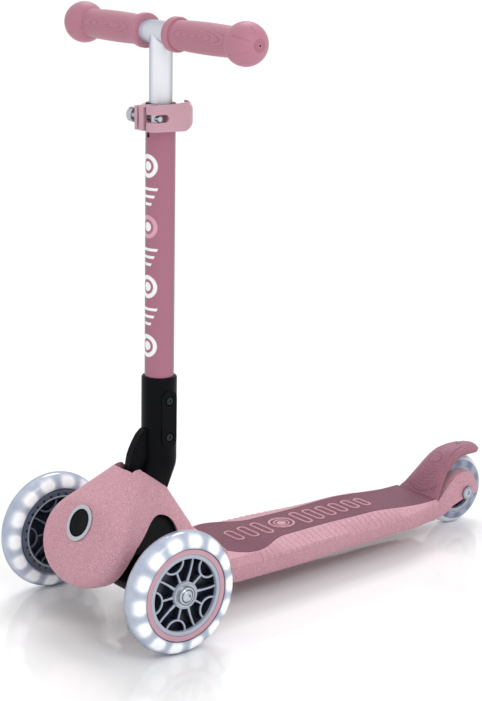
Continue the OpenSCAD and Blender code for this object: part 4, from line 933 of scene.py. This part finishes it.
def flat_dot(y, radius):
    """A low rounded button on the pad."""
    height, slope = pad_top(y)
    bpy.ops.mesh.primitive_cylinder_add(
        vertices=40, radius=radius, depth=1 * MM, location=(0, y, height),
        rotation=(math.atan(slope), 0, 0))
    dot = settled(bpy.context.object)
    bpy.ops.object.modifier_add(type="BEVEL")
    bevel = dot.modifiers[-1]
    bevel.width = 0.35 * MM
    bevel.segments = 3
    bpy.ops.object.modifier_apply(modifier=bevel.name)
    return dot


figures = []
for k in range(3):
    figures.append(raised_ring((-68 + 18 * k) * MM, PILL_R, PILL_BEAD, (9 + 1.5 * k) * MM))
for k in range(6):
    figures.append(raised_ring((20 + 17 * k) * MM, PILL_R, PILL_BEAD, (12 - k) * MM))
figures.append(raised_ring(RING_Y, 13 * MM, 1.3 * MM))
figures.append(raised_ring(RING_Y, 8 * MM, 1 * MM))
figures.append(flat_dot(RING_Y, 5 * MM))
finished(merged(figures), "pad_figures", "deck_plastic", "deck", SMOOTH_BUILT)

# ---------------------------------------------------------------- collars round the sleeve's screws
SLEEVE_SIDE = 17.7 * MM
COLLAR_R, COLLAR_BEAD = 5.6 * MM, 0.9 * MM


def screw_collar(y, z):
    """A low raised ring on the side of the sleeve, round a screw head."""
    bpy.ops.mesh.primitive_torus_add(
        location=(SLEEVE_SIDE, y, z), rotation=(0, math.pi / 2, 0), major_radius=COLLAR_R,
        minor_radius=COLLAR_BEAD, major_segments=48, minor_segments=10)
    collar = settled(bpy.context.object)
    picked(collar, lambda co: co.x > SLEEVE_SIDE + 0.4 * MM)
    bpy.ops.transform.resize(value=(0.6, 1, 1), center_override=(SLEEVE_SIDE, y, z))
    closed()
    return collar


collars = [screw_collar(-160.4 * MM, 178 * MM), screw_collar(-159.7 * MM, 214.5 * MM)]
finished(merged(collars), "screw_collars", "black_plastic", "stem", SMOOTH_BUILT)


# ---------------------------------------------------------------- floor, light, camera
def studio_floor():
    """A pale, glossy floor that keeps the scooter's shadow."""
    bpy.ops.mesh.primitive_plane_add(size=14, location=(0, 0, 0))
    floor = bpy.context.object
    floor.name = "studio_floor"
    paint, _, shader, _ = blank("studio_floor")
    shader.inputs["Base Color"].default_value = (0.97, 0.97, 0.975, 1)
    shader.inputs["Roughness"].default_value = 0.05
    shader.inputs["Specular IOR Level"].default_value = 0.5
    floor.data.materials.append(paint)


def studio_world(light, seen):
    """A white world of one strength as light, and of another where it is seen or mirrored."""
    world = bpy.data.worlds.new("studio")
    bpy.context.scene.world = world
    world.use_nodes = True
    tree = world.node_tree
    lit = tree.nodes["Background"]
    shown = tree.nodes.new("ShaderNodeBackground")
    for background, strength in ((lit, light), (shown, seen)):
        background.inputs["Color"].default_value = (1, 1, 1, 1)
        background.inputs["Strength"].default_value = strength
    path = tree.nodes.new("ShaderNodeLightPath")
    rays = (path.outputs[f"Is {kind} Ray"] for kind in ("Camera", "Glossy", "Transmission"))
    blend = tree.nodes.new("ShaderNodeMixShader")
    feed(tree, most(tree, *rays), blend.inputs[0])
    feed(tree, lit.outputs[0], blend.inputs[1])
    feed(tree, shown.outputs[0], blend.inputs[2])
    feed(tree, blend.outputs[0], tree.nodes["World Output"].inputs["Surface"])


def lamp(kind, name, place, way, power):
    """A lamp at a place, shining one way."""
    bpy.ops.object.light_add(type=kind, location=place)
    light = bpy.context.object
    light.name = name
    light.data.energy = power
    light.rotation_euler = Vector(way).to_track_quat("-Z", "Y").to_euler()
    return light.data


def studio_camera():
    """The camera, ahead of the scooter and on its left."""
    data = bpy.data.cameras.new("camera")
    data.lens = 100.75
    camera = bpy.data.objects.new("camera", data)
    bpy.context.scene.collection.objects.link(camera)
    camera.location = (1.49834, -1.21709, 0.75023)
    camera.rotation_euler = (math.radians(75.059), 0, math.radians(52.298))
    bpy.context.scene.camera = camera


studio_floor()
studio_world(light=0.85, seen=1.0)
sun = lamp("SUN", "back_sun", (-1, 1, 2), (0.62, -0.56, -0.95), 0.95)
sun.angle = math.radians(24)
key = lamp("AREA", "key_light", (1.6, -0.4, 1.6), (-1.6, 0.4, -1.35), 9)
key.size = 0.9
studio_camera()
bpy.context.scene.view_settings.view_transform = "Standard"
